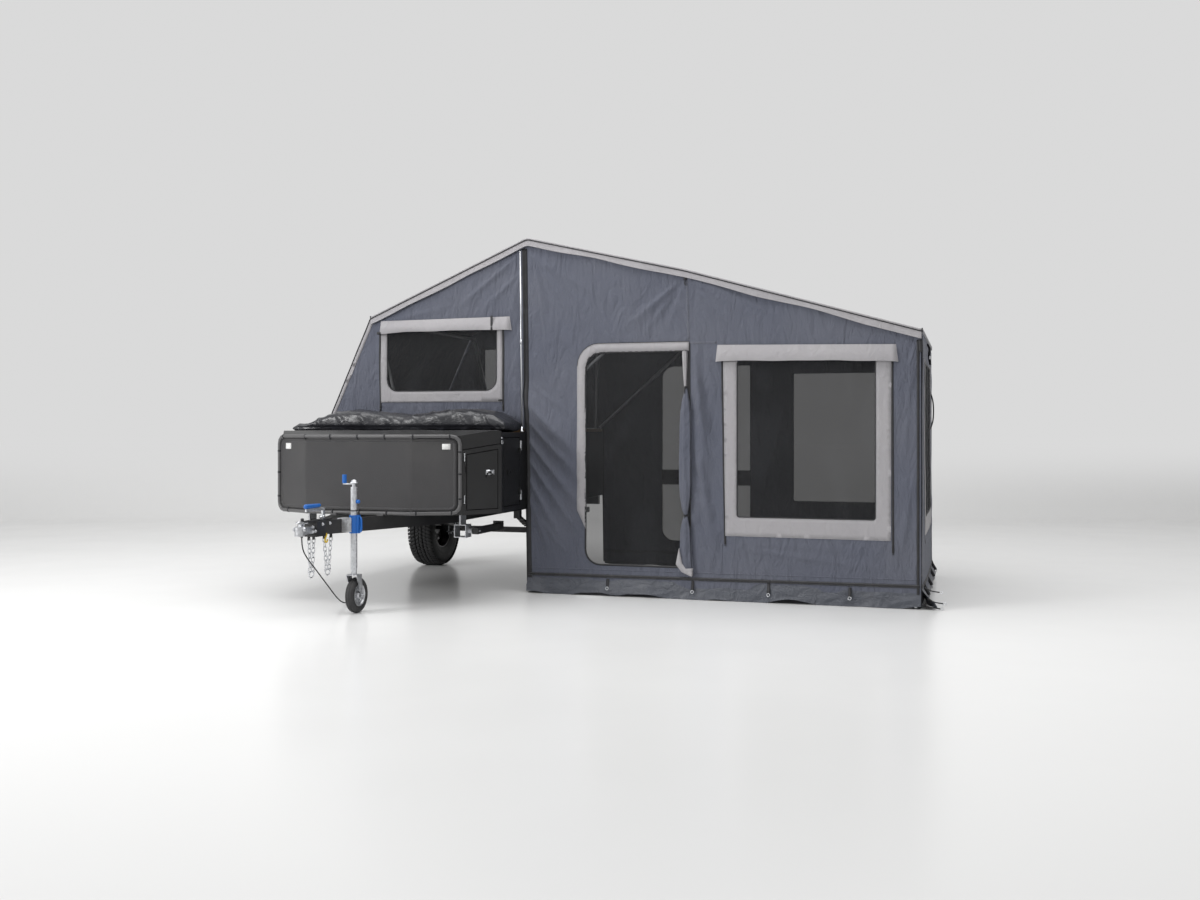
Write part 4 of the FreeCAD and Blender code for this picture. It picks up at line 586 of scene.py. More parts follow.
def along(path, pitch):
    """Points about a pitch apart along an open path."""
    path = np.asarray(path, float)
    out = [path[:1]]
    for a, b in zip(path, path[1:]):
        count = max(1, math.ceil(np.linalg.norm(b - a) / pitch))
        out.append(a + (b - a) * np.linspace(0, 1, count + 1)[1:, None])
    return np.concatenate(out)


def across(path):
    """Unit directions along a path in the plane and square to it."""
    way = np.gradient(path, axis=0)
    way /= np.linalg.norm(way, axis=1)[:, None]
    return way, np.stack([-way[:, 1], way[:, 0]], 1)


# ---------------------------------------------------------------- tent walls
FRONT_Y, REAR_Y = 1.0705, 3.1755
RIDGE, KINK, EAVE = (0.962, 2.884), (2.275, 2.578), (4.063, 2.064)
KNEE, FOOT, BASE_Z, WALL_LOW = (-0.445, 2.278), (-0.88, 1.336), 1.336, 0.03
GABLE = np.array([(0.962, WALL_LOW), (4.063, WALL_LOW), EAVE, KINK, RIDGE, KNEE, FOOT,
                  (0.962, BASE_Z)])
DOOR = rounded(1.46, 0.247, 2.30, 1.94, (0.12, 0.02, 0.02, 0.12))
WINDOW = rounded(2.69, 0.652, 3.733, 1.852, (0.018,) * 4)
BED_WINDOW = rounded(-0.302, 1.649, 0.691, 2.155, (0.095, 0.095, 0.02, 0.02))
OPENINGS = (DOOR, WINDOW, BED_WINDOW)

# Tension folds in the long walls: start, end, half width and depth
FOLDS = [
    ((0.90, 2.76), (0.30, 2.30), 0.020, 0.016), ((0.91, 2.62), (0.52, 2.27), 0.016, 0.012),
    ((0.92, 2.30), (0.79, 1.55), 0.020, 0.013), ((0.90, 2.05), (0.83, 1.35), 0.014, 0.008),
    ((-0.42, 2.22), (0.35, 2.36), 0.018, 0.008), ((-0.46, 1.80), (-0.36, 1.42), 0.020, 0.009),
    ((2.26, 2.50), (1.70, 2.08), 0.020, 0.013), ((2.25, 2.47), (1.92, 2.05), 0.014, 0.010),
    ((2.27, 2.46), (2.12, 2.06), 0.014, 0.009), ((2.31, 2.48), (2.72, 2.05), 0.018, 0.011),
    ((2.36, 2.50), (3.25, 2.08), 0.020, 0.011), ((0.99, 2.80), (1.20, 1.95), 0.018, 0.011),
    ((1.02, 2.80), (1.62, 2.10), 0.020, 0.010), ((4.02, 1.98), (3.93, 1.05), 0.018, 0.012),
    ((4.02, 1.05), (3.90, 0.28), 0.020, 0.011), ((2.36, 1.95), (2.46, 0.80), 0.036, 0.040),
    ((2.37, 1.25), (2.53, 0.28), 0.032, 0.030), ((2.62, 0.42), (3.90, 0.27), 0.024, 0.009),
    ((0.90, 1.70), (1.45, 0.98), 0.10, 0.030), ((0.93, 0.95), (1.30, 0.25), 0.06, 0.016),
    ((0.97, 2.80), (1.42, 2.15), 0.030, 0.010), ((0.97, 2.76), (1.75, 2.28), 0.028, 0.008),
    ((0.98, 2.70), (1.25, 1.95), 0.024, 0.007),
    ((0.95, 1.56), (1.40, 1.12), 0.034, 0.026), ((0.95, 1.42), (1.43, 0.92), 0.026, 0.030),
    ((0.95, 1.27), (1.42, 0.70), 0.026, 0.032), ((0.95, 1.12), (1.38, 0.52), 0.022, 0.028),
    ((0.95, 0.98), (1.28, 0.40), 0.020, 0.024), ((0.96, 0.82), (1.17, 0.30), 0.018, 0.018),
    ((0.96, 1.72), (1.36, 1.42), 0.022, 0.010), ((1.05, 0.62), (1.36, 0.26), 0.016, 0.010),
    ((2.27, 2.53), (1.78, 2.08), 0.026, 0.008), ((2.27, 2.53), (2.02, 2.02), 0.022, -0.007),
    ((2.27, 2.53), (2.20, 2.03), 0.016, 0.005), ((2.27, 2.53), (2.75, 2.22), 0.026, 0.008),
    ((2.27, 2.53), (3.05, 2.10), 0.030, 0.006),
    ((2.36, 1.80), (2.60, 1.20), 0.034, -0.015), ((2.34, 1.62), (2.58, 0.98), 0.028, 0.013),
    ((2.33, 1.05), (2.62, 0.62), 0.032, -0.012), ((2.32, 0.85), (2.66, 0.42), 0.026, 0.010),
    ((2.45, 1.95), (2.52, 1.40), 0.024, 0.008),
    ((4.03, 1.96), (3.80, 1.45), 0.024, 0.007), ((4.04, 1.80), (3.90, 1.10), 0.020, -0.006),
    ((0.93, 2.70), (0.72, 1.95), 0.026, 0.009), ((0.93, 2.55), (0.80, 1.60), 0.022, -0.008),
    ((-0.40, 2.20), (-0.34, 1.55), 0.022, 0.007), ((-0.50, 2.02), (-0.36, 1.42), 0.022, -0.006),
    ((1.40, 0.30), (2.30, 0.20), 0.02, 0.005), ((2.66, 0.45), (3.80, 0.42), 0.03, 0.005),
]


def wall_relief(points, folds=FOLDS, seed=0.0, calm=1.0):
    """How far the wall cloth stands proud of its plane, in metres."""
    points = np.asarray(points, float)
    out = 0.008 + 0.006 * ripple(points, 1.4, seed) + 0.003 * ripple(points, 4.0, seed + 5)
    out += 0.0012 * ripple(points * (2.2, 1), 9.0, seed + 9)
    for start, end, width, depth in folds:
        a, b = np.array(start), np.array(end)
        length = np.linalg.norm(b - a)
        along = (points - a) @ (b - a) / length ** 2
        off = (points - a) @ np.array((-(b - a)[1], (b - a)[0])) / length
        taper = np.clip(along * 5, 0, 1) * np.clip((1 - along) * 2.2, 0, 1)
        out += calm * depth * taper * np.exp(-(off / (width * (0.6 + 0.8 * np.clip(along, 0, 1))))
                                             ** 2)
    return np.maximum(out, 0.0008)


def on_front(flat, lift=0.0):
    flat = np.asarray(flat, float)
    return np.stack([flat[:, 0], FRONT_Y - wall_relief(flat) - lift, flat[:, 1]], 1)


def on_rear(flat, lift=0.0):
    """Onto the rear wall, whose door and window sit a little further along it."""
    flat = np.asarray(flat, float)
    x, z = flat.T
    there = np.interp(x, (0.98, 1.46, 3.733, 4.04), (0.98, 1.55, 3.90, 4.04))
    share = np.clip((2.088 - z) / 0.06, 0, 1) * (x > 0.98) * (x < 4.04)
    return np.stack([x + (there - x) * share,
                     REAR_Y + wall_relief(flat, seed=30.0, calm=0.5) + lift, z], 1)


def outline_area(ring):
    x, y = np.asarray(ring).T
    return abs((x * np.roll(y, -1) - y * np.roll(x, -1)).sum()) / 2


def declare_taut(ring, holes):
    """Works out the area of a sheet cut to its outline, less its openings, and does nothing more
    with it.
    """
    area = outline_area(ring) - sum(outline_area(hole) for hole in holes)


def nets(openings, onto):
    """Nets just behind the wall, up to the openings' edges."""
    parts = []
    for ring in openings:
        middle = ring.mean(0)
        flat, faces = patch(middle + (ring - middle) * 0.9995, (), 0.05)
        parts.append((onto(flat, -0.0006), faces))
    return parts


WALLS = (("front", on_front, -1), ("rear", on_rear, 1))
for place, onto, way in WALLS:
    flat, faces = patch(GABLE, OPENINGS, 0.018 if place == "front" else 0.03)
    wall = add(f"wall_{place}", [(onto(flat), faces)], wall_cloth, f"gable_{place}")
    declare_taut(GABLE, OPENINGS)
    add(f"net_{place}", nets(OPENINGS, onto), net, f"screens_{place}")

for finish, names in (
        (board, "bed_base"), (tube_coat, "guard_frame"), (guard_cloth, "guard_sheet"),
        (wheel_rubber, "jockey_tyre"), (bed_cloth, "mattress"), (rim_coat, "rim_left rim_right"),
        (net, "screen_end"), (lamp_lens, "tail_lamps"), (floor_vinyl, "tent_floor"),
        (roof_cloth, "tent_roof"), (skirt_vinyl, "tent_skirt"), (vinyl, "travel_cover"),
        (tyre_rubber, "tyre_left tyre_right"), (trim_cloth, "window_awnings"),
        (lead_rubber, "lead_gland tow_plug"), (wall_cloth, "door_flap end_wall slope_wall"),
        (drawn_steel, "eave_bow knee_bow ridge_bow mid_bow"),
        (black_coat, "nose_box nose_door_left nose_door_right nose_lid"),
        (blue_plastic, "crank_knob handbrake_grip jockey_clamp"),
        (checker, "tailgate tray_body side_hatch_left side_hatch_right"),
        (chassis_coat, "chassis_frame coupling_body leaf_springs leg_front_left leg_front_right "
                       "leg_rear_left leg_rear_right tail_bar axle_beam"),
        (galvanised, "coupling_head handbrake_lever jockey_fork jockey_leg jockey_rim "
                     "jockey_tube leg_brackets jockey_bracket safety_chains")):
    for name in names.split():
        for slot in nodes[name].material_slots:
            slot.material = finish.mat


# ---------------------------------------------------------------- cloth on the walls


def raised(outline, onto, lift=0.003, pitch=0.03):
    """A layer of cloth on a wall, its cut edge closed down to the wall."""
    flat, faces = patch(outline, (), pitch)
    sides = {side for face in faces for side in zip(face, face[1:] + face[:1])}
    edges = [(a, b) for a, b in sides if (b, a) not in sides]
    rim = sorted({i for edge in edges for i in edge})
    foot = {i: len(flat) + n for n, i in enumerate(rim)}
    points = np.concatenate([onto(flat, lift), onto(flat[rim], -0.001)])
    return points, faces + [(b, a, foot[a], foot[b]) for a, b in edges]


def strip(path, width, onto, lift=0.003):
    """A tape along a path on a wall."""
    path = along(path, 0.03)
    off = across(path)[1] * width / 2
    rows = [onto(path - off, -0.001), onto(path - off, lift), onto(path + off, lift),
            onto(path + off, -0.001)]
    points, faces = grid(rows)
    n = len(path)
    return points, faces + [(0, n, 2 * n, 3 * n), (n - 1, 4 * n - 1, 3 * n - 1, 2 * n - 1)]


def stitches(path, onto, lift, step=0.011, size=(0.0065, 0.0018, 0.0012)):
    """A row of stitches or zip teeth, each a small ridge."""
    path = along(path, step)
    way, off = across(path)
    way, off = way * size[0] / 2, off * size[1] / 2
    low = [onto(path + p * way + q * off, lift) for p, q in ((-1, -1), (1, -1), (1, 1), (-1, 1))]
    high = [onto(path + p * way * 0.8, lift + size[2]) for p in (-1, 1)]
    n = len(path)
    faces = []
    for i in range(n):
        a, b, c, d, e, f = (i + k * n for k in range(6))
        faces += [(a, b, f, e), (e, f, c, d), (a, e, d), (b, c, f)]
    return np.concatenate(low + high), faces


def cord_on(path, radius, onto):
    return swept(onto(along(path, 0.03), 0.003), circle(radius, 8))


def loop(ring):
    return np.concatenate([ring, ring[:1]])


DOOR_TRIM = np.concatenate([
    [(1.46, 0.53), (1.388, 0.68)], rounded(1.388, 0.5, 3.0, 2.016, (0, 0, 0, 0.18))[-7:][::-1],
    [(2.312, 2.016), (2.312, 1.942)], rounded(1.46, 0.3, 3.0, 1.942, (0, 0, 0, 0.12))[-7:]])
WINDOW_TRIM = np.array([
    (2.598, 0.503), (3.846, 0.498), (3.85, 1.87), (3.733, 1.87), (3.733, 0.652), (2.69, 0.652),
    (2.69, 1.87), (2.58, 1.87)])
BED_TRIM = np.concatenate([
    [(-0.362, 1.555), (0.742, 1.555), (0.742, 2.17), (0.691, 2.17)],
    rounded(-0.302, 1.649, 0.691, 2.2, (0.095, 0.095, 0, 0))[:14][::-1],
    [(-0.302, 2.17), (-0.362, 2.17)]])
EDGE_BAND = np.array([(-0.85, 1.42), (-0.815, 1.42), (-0.43, 2.25), (-0.462, 2.262)])
DOOR_OUT = DOOR_TRIM[1:12]
ZIPS = ([(2.572, 1.86), (2.596, 0.44)], [(3.856, 1.85), (3.862, 0.41)],
        [(-0.372, 2.16), (-0.366, 1.49)], [(0.752, 2.16), (0.75, 1.49)],
        [(2.312, 2.0), (2.318, 0.5)])
PULLS = ((2.596, 0.47), (3.862, 0.44), (0.75, 1.52), (-0.366, 1.52), (0.96, 1.2))
HEM = [(0.975, 0.153), (2.4, 0.16), (4.055, 0.166)]
SEAM_LEFT = [(0.936, 2.80), (0.979, 0.03)]
SEAM_RIGHT = [(4.042, 1.99), (4.042, 0.03)]
PEGS = (1.647, 2.34, 2.935, 3.547)
FELL_SEAMS = [(2.32, 2.003), (2.53, 2.002)], [(2.308, 2.03), (2.29, 2.54)]
THIN_SEAMS = ([(0.98, 0.205), (4.05, 0.215)], [(2.57, 0.44), (2.565, 0.21)],
              [(1.39, 0.44), (1.38, 0.21)])

for place, onto, way in WALLS:
    add(f"trims_{place}", [raised(outline, onto) for outline in (
        DOOR_TRIM, WINDOW_TRIM, BED_TRIM, EDGE_BAND)], trim_cloth)
    if place == "rear":
        add("rear_door_band", [strip([(1.462, 0.866), (2.298, 0.866)], 0.144, onto, -0.003)],
            black_cloth)
    threads = []
    for ring, trim in ((DOOR_OUT, DOOR_TRIM), (WINDOW_TRIM[[7, 0, 1, 2]], WINDOW_TRIM),
                       (WINDOW_TRIM[[3, 4, 5, 6]], WINDOW_TRIM),
                       (BED_TRIM[[-1, 0, 1, 2]], BED_TRIM), (BED_TRIM[3:-1], BED_TRIM)):
        ring = along(ring, 0.03)
        inset = across(ring)[1] * 0.008
        side = 1 if inside((ring + inset)[len(ring) // 2:][:1], trim)[0] else -1
        threads.append(stitches((ring + side * inset)[1:-1], onto, 0.0034, 0.011,
                                (0.0065, 0.0018, 0.0007)))
    for path, off, lift in (([(2.32, 2.004), (2.53, 2.002)], (0, 0.005), 0.0014),
                            (FELL_SEAMS[1], (0.005, 0), 0.0014), (HEM, (0, 0.009), 0.0045)):
        threads += [stitches(path + np.array(off) * side, onto, lift) for side in (-1, 1)]
    add(f"threads_{place}", threads, thread)
    add(f"seams_{place}", [strip(path, 0.018, onto, 0.0012) for path in FELL_SEAMS]
        + [strip(path, 0.012, onto, 0.0012) for path in THIN_SEAMS], wall_cloth)
    tapes = [strip(path, 0.016, onto, 0.0025) for path in ZIPS]
    tapes += [strip(SEAM_LEFT, 0.044, onto), strip(SEAM_RIGHT, 0.02, onto),
              strip(HEM, 0.026, onto, 0.004), strip(loop(DOOR), 0.014, onto),
              strip(loop(WINDOW), 0.008, onto, 0.0038),
              strip(loop(BED_WINDOW), 0.008, onto, 0.0038),
              cord_on([(-0.86, 1.40), (-0.466, 2.262)], 0.005, onto),
              cord_on(DOOR_OUT[1:], 0.0022, onto)]
    tapes += [stitches(path, onto, 0.0024, 0.0075, (0.005, 0.007, 0.0022))
              for path in (*ZIPS, SEAM_LEFT, SEAM_RIGHT)]
    add(f"tapes_{place}", tapes, zip_nylon)
    pulls = []
    for spot in onto(PULLS, 0.006):
        pulls += [block(spot - (0.006, 0.004, 0.012), spot + (0.006, 0.003, 0.012), 0.002),
                  block(spot - (0.0035, 0.003, 0.045), spot + (0.0035, 0.002, -0.008), 0.001)]
    add(f"zip_pulls_{place}", pulls, black_coat)


# ---------------------------------------------------------------- roof, slope and end wall
ROOF = np.array([(-0.450, 2.283), (0.962, 2.889), (2.275, 2.583), (4.067, 2.070)])
ROOF_FRONT, ROOF_REAR = 1.0455, 3.2005


def roof_line(pitch):
    """The bows' line with its bends softened."""
    line = along(ROOF, pitch)
    for _ in range(2):
        line[1:-1] = (line[:-2] + 2 * line[1:-1] + line[2:]) / 4
    return line


def slack(x):
    """How far the cloth hangs between two bows."""
    spans = ROOF[:, 0]
    k = min(max(int(np.searchsorted(spans, x)) - 1, 0), 2)
    share = (x - spans[k]) / (spans[k + 1] - spans[k])
    return 0.011 * math.sin(math.pi * min(max(share, 0), 1))


def middle_of(y):
    """0 at the roof's two long edges and 1 midway."""
    return math.sin(math.pi * (y - ROOF_FRONT) / (ROOF_REAR - ROOF_FRONT))


rows = [[(x, y, z - 0.001 - (slack(x) + 0.003 * noise.noise(Vector((x * 1.5, y * 6, 3))))
          * middle_of(y)) for y in np.linspace(ROOF_FRONT, ROOF_REAR, 44)]
        for x, z in roof_line(0.05)]
roof = add("roof", [grid(rows)], roof_cloth, "tent_roof")

roof_seams = [swept([(x, y, z + 0.0012 - slack(x) * middle_of(y)) for x, z in roof_line(0.05)],
                    [(-0.009, -0.0008), (0.009, -0.0008), (0.008, 0.0016), (-0.008, 0.0016)])
              for y in (1.62, 2.62)]
hem = [(-0.0035, -0.024), (0.0035, -0.024), (0.0045, 0.006), (0.0, 0.011), (-0.0045, 0.006)]
for x, z in (ROOF[0], ROOF[-1]):
    roof_seams.append(grid([[
        (x + math.copysign(0.004, x) + a, y,
         z - 0.002 + b + (b < 0) * 0.003 * noise.noise(Vector((y * 4.0, x, 6))))
        for a, b in hem + hem[:1]] for y in np.linspace(1.0435, 3.2025, 90)]))
edge_pieces, piping = [], []
fine = roof_line(0.02)
for y, way in ((ROOF_FRONT, -1), (ROOF_REAR, 1)):
    edge = np.stack([fine[:, 0], np.full(len(fine), y + way * 0.001), fine[:, 1] - 0.006], 1)
    edge_pieces.append(swept(edge, oval(0.004, 0.0065, 10)))
    piping.append(swept(edge - (0, -way * 0.0005, 0.0115), circle(0.0038, 8)))
    rows = []
    for t in np.linspace(0, 1, 7):
        row = []
        for x, z in fine:
            drop = 0.051 + 0.013 * noise.noise(Vector((x * 2.3, way * 3.0, 1)))
            drop += 0.012 * min(max((x - 3.75) / 0.3, 0), 1)
            out = 0.0025 + t * (0.004 + 0.006 * noise.noise(Vector((x * 5.0, way * 7.0, 4))))
            row.append((x, y + way * (out - 0.003), z - 0.013 - drop * t))
        rows.append(row)
    valance = add(f"valance_{'front' if way < 0 else 'rear'}", [grid(rows)], trim_cloth)
    edge_pieces.append(swept(np.array(rows[-1]) + (0, 0, 0.002), oval(0.0016, 0.0045)))
add("roof_seams", roof_seams, roof_cloth)
add("roof_edges", edge_pieces, trim_cloth)
add("roof_piping", piping, zip_nylon)

FOOT_FRONT, FOOT_REAR = 1.0758, 3.1702
rows = []
for s in np.linspace(0, 1, 26):
    x, z = -0.88 + 0.434 * s, 1.3362 + 0.936 * s
    rows.append([(x + 0.006 * math.sin(math.pi * s) * (0.6 + noise.noise(
        Vector((s * 3, y * 1.4, 2)))) * (1.09 < y < 3.15), y, z)
        for y in np.linspace(FOOT_FRONT, FOOT_REAR, 50)])
slope = add("slope", [grid(rows)], wall_cloth, "slope_wall")

END_X = 4.0632
END_WALL = np.array([(FOOT_FRONT, 0.031), (FOOT_REAR, 0.031), (FOOT_REAR, 2.055),
                     (FOOT_FRONT, 2.055)])
END_WINDOW = rounded(1.5556, 0.652, 2.6904, 1.852, (0.018,) * 4)
END_FOLDS = [((1.10, 1.98), (1.45, 1.35), 0.024, 0.010),
             ((3.14, 1.95), (2.80, 1.2), 0.024, 0.010),
             ((1.12, 0.9), (1.5, 0.35), 0.026, 0.012), ((3.12, 0.8), (2.75, 0.3), 0.024, 0.012),
             ((1.35, 0.45), (2.9, 0.38), 0.03, 0.008)]


def on_end(flat, lift=0.0):
    """Onto the end wall, which bulges towards its foot."""
    flat = np.asarray(flat, float)
    bulge = 0.016 * np.clip(1.3 - flat[:, 1], 0, 1) * np.sin(
        np.pi * np.clip((flat[:, 0] - 1.07) / 2.11, 0, 1))
    return np.stack([END_X + wall_relief(flat, END_FOLDS, 60.0) * 0.8 + bulge + lift,
                     flat[:, 0], flat[:, 1]], 1)


flat, faces = patch(END_WALL, (END_WINDOW,), 0.035)
end = add("wall_end", [(on_end(flat), faces)], wall_cloth, "end_wall")
declare_taut(END_WALL, (END_WINDOW,))
add("net_end", nets((END_WINDOW,), on_end), net, "screen_end")
END_TRIM = np.array([(1.46, 0.51), (2.79, 0.51), (2.79, 1.87), (2.6904, 1.87), (2.6904, 0.652),
                     (1.5556, 0.652), (1.5556, 1.87), (1.46, 1.87)])
add("trims_end", [raised(END_TRIM, on_end)], trim_cloth)
add("tapes_end", [strip(path, 0.016, on_end, 0.0025) for path in (
    [(1.45, 1.86), (1.45, 0.45)], [(2.80, 1.86), (2.80, 0.45)], [(1.10, 2.02), (1.10, 0.04)],
    [(3.14, 2.02), (3.14, 0.04)])] + [
    strip([(1.08, 0.155), (3.168, 0.155)], 0.026, on_end, 0.004),
    strip(loop(END_WINDOW), 0.008, on_end, 0.0038)], zip_nylon)


# ---------------------------------------------------------------- awnings
AWNINGS = {
    "window": (2.527, 1.984, 3.892, 1.962, 0.125), "bed": (-0.372, 2.243, 0.817, 2.252, 0.106),
}
for place, onto, way in WALLS:
    for kind, (x0, z0, x1, z1, drop) in AWNINGS.items():
        rows = []
        xs = np.linspace(x0, x1, 70)
        share = (xs - x0) / (x1 - x0)
        ends = np.clip(np.minimum(share, 1 - share) * (x1 - x0) / 0.022, 0, 1)
        for t in np.linspace(0, 1, 9):
            wave = np.array([noise.noise(Vector((x * 4.2, t, way + x0))) for x in xs])
            zs = z0 + (z1 - z0) * share - drop * t * (0.96 + 0.06 * wave
                                                      + 0.10 * np.abs(2 * share - 1) ** 3)
            row = onto(np.stack([xs, zs], 1), 0.002)
            row[:, 1] += way * (0.008 + 0.026 * math.sin(t * 2.1) + 0.006 * wave * t) * ends
            row[:, 0] += (t - 0.5) * 0.016 * (2 * share - 1)
            rows.append(row)
        awning = add(f"awning_{kind}_{place}", [grid(rows)], trim_cloth)
        if (kind, place) == ("window", "front"):
            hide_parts("window_awnings")
corner = on_front([(BED_TRIM[:, 0].max() - 0.012, BED_TRIM[:, 1].min() + 0.012)])[0]
add("awning_tie", [
    block((0.65, 1.0255, 2.14), (0.67, 1.031, 2.26), 0.002),
    block((-0.384, 1.020, 2.128), (-0.350, 1.034, 2.152), 0.006),
    block(corner - (0.022, 0.010, 0.006), corner + (0.020, 0.001, 0.007), 0.003),
    block((-0.862, 1.060, 1.352), (-0.838, 1.072, 1.392), 0.003)], zip_nylon)


# ---------------------------------------------------------------- rolled door flap
FLAP = [(1.94, 0.020), (1.90, 0.021), (1.80, 0.017), (1.70, 0.012), (1.655, 0.009), (1.62, 0.014),
        (1.55, 0.030), (1.45, 0.043), (1.30, 0.048), (1.10, 0.051), (0.90, 0.052), (0.80, 0.046),
        (0.71, 0.030), (0.655, 0.013), (0.61, 0.028), (0.55, 0.042), (0.45, 0.046), (0.35, 0.050),
        (0.26, 0.058), (0.215, 0.062)]


def roll(levels, centre_x, finish, name, rounds, node=None):
    """A rolled cloth hanging on the wall, its section a spiral squeezed where it is tied."""
    rows = []
    turn = np.linspace(0, 2 * math.pi * rounds, int(34 * rounds))
    shrink = 1 - 0.74 * turn / turn[-1]
    heights, widths = np.array(levels).T
    count = max(8, int(abs(heights[0] - heights[-1]) / 0.018))
    fine_z = np.linspace(heights[0], heights[-1], count)
    widths = np.interp(fine_z[::-1], heights[::-1], widths[::-1])[::-1]
    for z, wide in zip(fine_z, widths):
        lobes = 1 + 0.11 * np.cos(5 * turn + 1.2 + z) + 0.05 * np.cos(9 * turn - 2 * z)
        drift = 0.006 * noise.noise(Vector((z * 1.5, 3, 1)))
        depth = min(wide, 0.026)
        rows.append(np.stack([centre_x + drift + wide * lobes * shrink * np.cos(turn),
                              1.0665 - depth + depth * lobes * shrink * np.sin(turn) * 0.86,
                              np.full(len(turn), z)], 1))
    return add(name, [grid(rows)], finish, node)


flap = roll(FLAP[4:], 2.286, wall_cloth, "flap_roll", 3.6, "door_flap")
top = roll(FLAP[:5], 2.278, trim_cloth, "flap_top", 2.6)
ties = []
for z, wide in ((1.655, 0.0125), (0.655, 0.0165)):
    ties += [
        hoop((2.286, 1.067 - wide * 0.7, z), (wide, 0, 0.002), (0, wide * 0.85, 0),
             oval(0.0015, 0.009), 20),
        block((2.276, 1.067 - wide * 1.7, z - 0.012),
              (2.292, 1.071 - wide * 1.4, z + 0.012), 0.003),
        bent([(2.284, 1.052 - wide, z - 0.006), (2.279, 1.05 - wide, z - 0.03),
              (2.286, 1.052 - wide, z - 0.06)], circle(0.003, 7))]
add("flap_ties", ties, black_cloth)
tip = np.array([(2.238, 0.40), (2.213, 0.275), (2.262, 0.215), (2.338, 0.182), (2.345, 0.245),
                (2.292, 0.243), (2.262, 0.285), (2.252, 0.33)])
add("flap_tip", [raised(tip, on_front, 0.047, 0.02)], trim_cloth)


# ---------------------------------------------------------------- mud skirts and pegs


def skirt_grid(start, stop, out, spread, flare, seed, count):
    """A skirt from the wall's foot out to the ground, its lower edge wavy.

    It spreads evenly, and flares at its start."""
    start, stop, out = (np.array(v, float) for v in (start, stop, out))
    long = np.linalg.norm(stop - start)
    rows = []
    for t in np.linspace(0, 1, 12):
        row = []
        for s in np.linspace(0, 1, count):
            base = start + (stop - start) * s
            far = long * s
            wave = noise.noise(Vector((far * 2.6, t * 0.8, seed)))
            fold = noise.noise(Vector((far * 7.0, t * 2.2, seed + 4)))
            crease = 1 - abs(noise.noise(Vector((far * 3.3 + t * 1.6, t * 2, seed + 8)))) * 2
            reach = 0.001 + (spread + flare * max(0.0, 1 - s * 9)) * t
            reach += t * (1.6 - t) * (0.026 * wave + 0.016 * fold)
            reach += 0.009 * max(crease, 0) ** 4 * t
            point = base + out * max(reach, 0.0012)
            lift = 0.055 * max(0.0, wave + 0.25 * fold) * t ** 3
            row.append((point[0], point[1], 0.151 * (1 - t) + 0.0025 + lift))
        rows.append(row)
    return grid(rows)


skirt = add("skirt", [
    skirt_grid((0.962, 1.0697, 0), (4.063, 1.0697, 0), (0, -1, 0), 0.030, 0, 11.0, 200),
    skirt_grid((0.962, 3.1763, 0), (4.063, 3.1763, 0), AFT, 0.030, 0, 21.0, 150),
    skirt_grid((4.0633, 1.05, 0), (4.0633, 3.19, 0), LEFT, 0.034, 0.082, 31.0, 130),
], skirt_vinyl, "tent_skirt")
straps, eyelets = [], []
webbing, ring_wire = bar(0.024, 0.0025), circle(0.003, 8)
for x in PEGS:
    straps += [bent([(x, 1.0655, 0.158), (x, 1.060, 0.13), (x + 0.001, 1.047, 0.095),
                     (x, 1.041, 0.072)], webbing, 5),
               block((x - 0.014, 1.0585, 0.148), (x + 0.014, 1.0655, 0.172), 0.002)]
    eyelets.append(hoop((x, 1.034, 0.062), (0.011, 0, 0), (0, 0.004, 0.011), ring_wire))
for y in (1.35, 1.95, 2.55, 3.05):
    straps.append(bent([(4.068, y, 0.158), (4.085, y, 0.12), (4.105, y, 0.085),
                        (4.112, y, 0.07)], webbing, 5))
    eyelets.append(hoop((4.116, y, 0.060), (0, 0.011, 0), (0.004, 0, 0.011), ring_wire))
for x, y, z, tail in ((4.16, 1.06, 0.13, 0.035), (4.18, 1.05, 0.05, 0.04),
                      (4.15, 1.045, 0.012, 0.05)):
    straps.append(bent([(x - 0.07, y, z + 0.03), (x - 0.02, y, z + 0.008), (x + tail, y, z)],
                       bar(0.024, 0.006), 6))
    eyelets.append(hoop((x + tail + 0.011, y - 0.003, z), (0.011, 0, 0), (0, 0.003, 0.008),
                        circle(0.0028, 8), 16))
straps += [
    bent([(4.055, 1.058, 1.99), (4.06, 1.052, 1.96), (4.062, 1.05, 1.90)], bar(0.03, 0.006), 5),
    bent([(4.071, 2.1, 2.03), (4.088, 2.12, 1.99), (4.084, 2.14, 1.93), (4.094, 2.15, 1.86)],
         bar(0.022, 0.004), 6),
    bent([(4.068, 2.95, 1.66), (4.092, 2.95, 1.56), (4.092, 2.95, 1.42), (4.069, 2.95, 1.33)],
         circle(0.006, 8), 6),
    block((2.268, 1.046, 2.495), (2.292, 1.06, 2.52), 0.004),
    bent([(2.28, 1.052, 2.50), (2.278, 1.049, 2.47), (2.286, 1.047, 2.452)], circle(0.004, 7), 5)]
add("peg_straps", straps, zip_nylon)
add("eyelets", eyelets, drawn_steel)
add("buckle", [block((4.082, 2.13, 1.905), (4.096, 2.165, 1.935), 0.004)], drawn_steel)
add("outer_pole", [
    swept([(0.925, 1.034, 1.307), (0.909, 1.034, 2.78)], circle(0.0068)),
    pin([(1.3066, 0.018), (1.316, 0.018), (1.318, 0.010), (1.35, 0.010)],
        (0.925, 1.034, 0), UP, 20),
    pin([(2.02, 0.0095), (2.06, 0.0095)], (0.917, 1.034, 0), UP, 20)], drawn_steel)


# ---------------------------------------------------------------- stone guard
GUARD_MID, GUARD_HALF, GUARD_Y, GUARD_BACK = 0.438, 0.769, -0.014, 0.148
FACET = np.array([GUARD_HALF - GUARD_MID, GUARD_BACK - GUARD_Y, 0.0])
FACET /= np.linalg.norm(FACET)


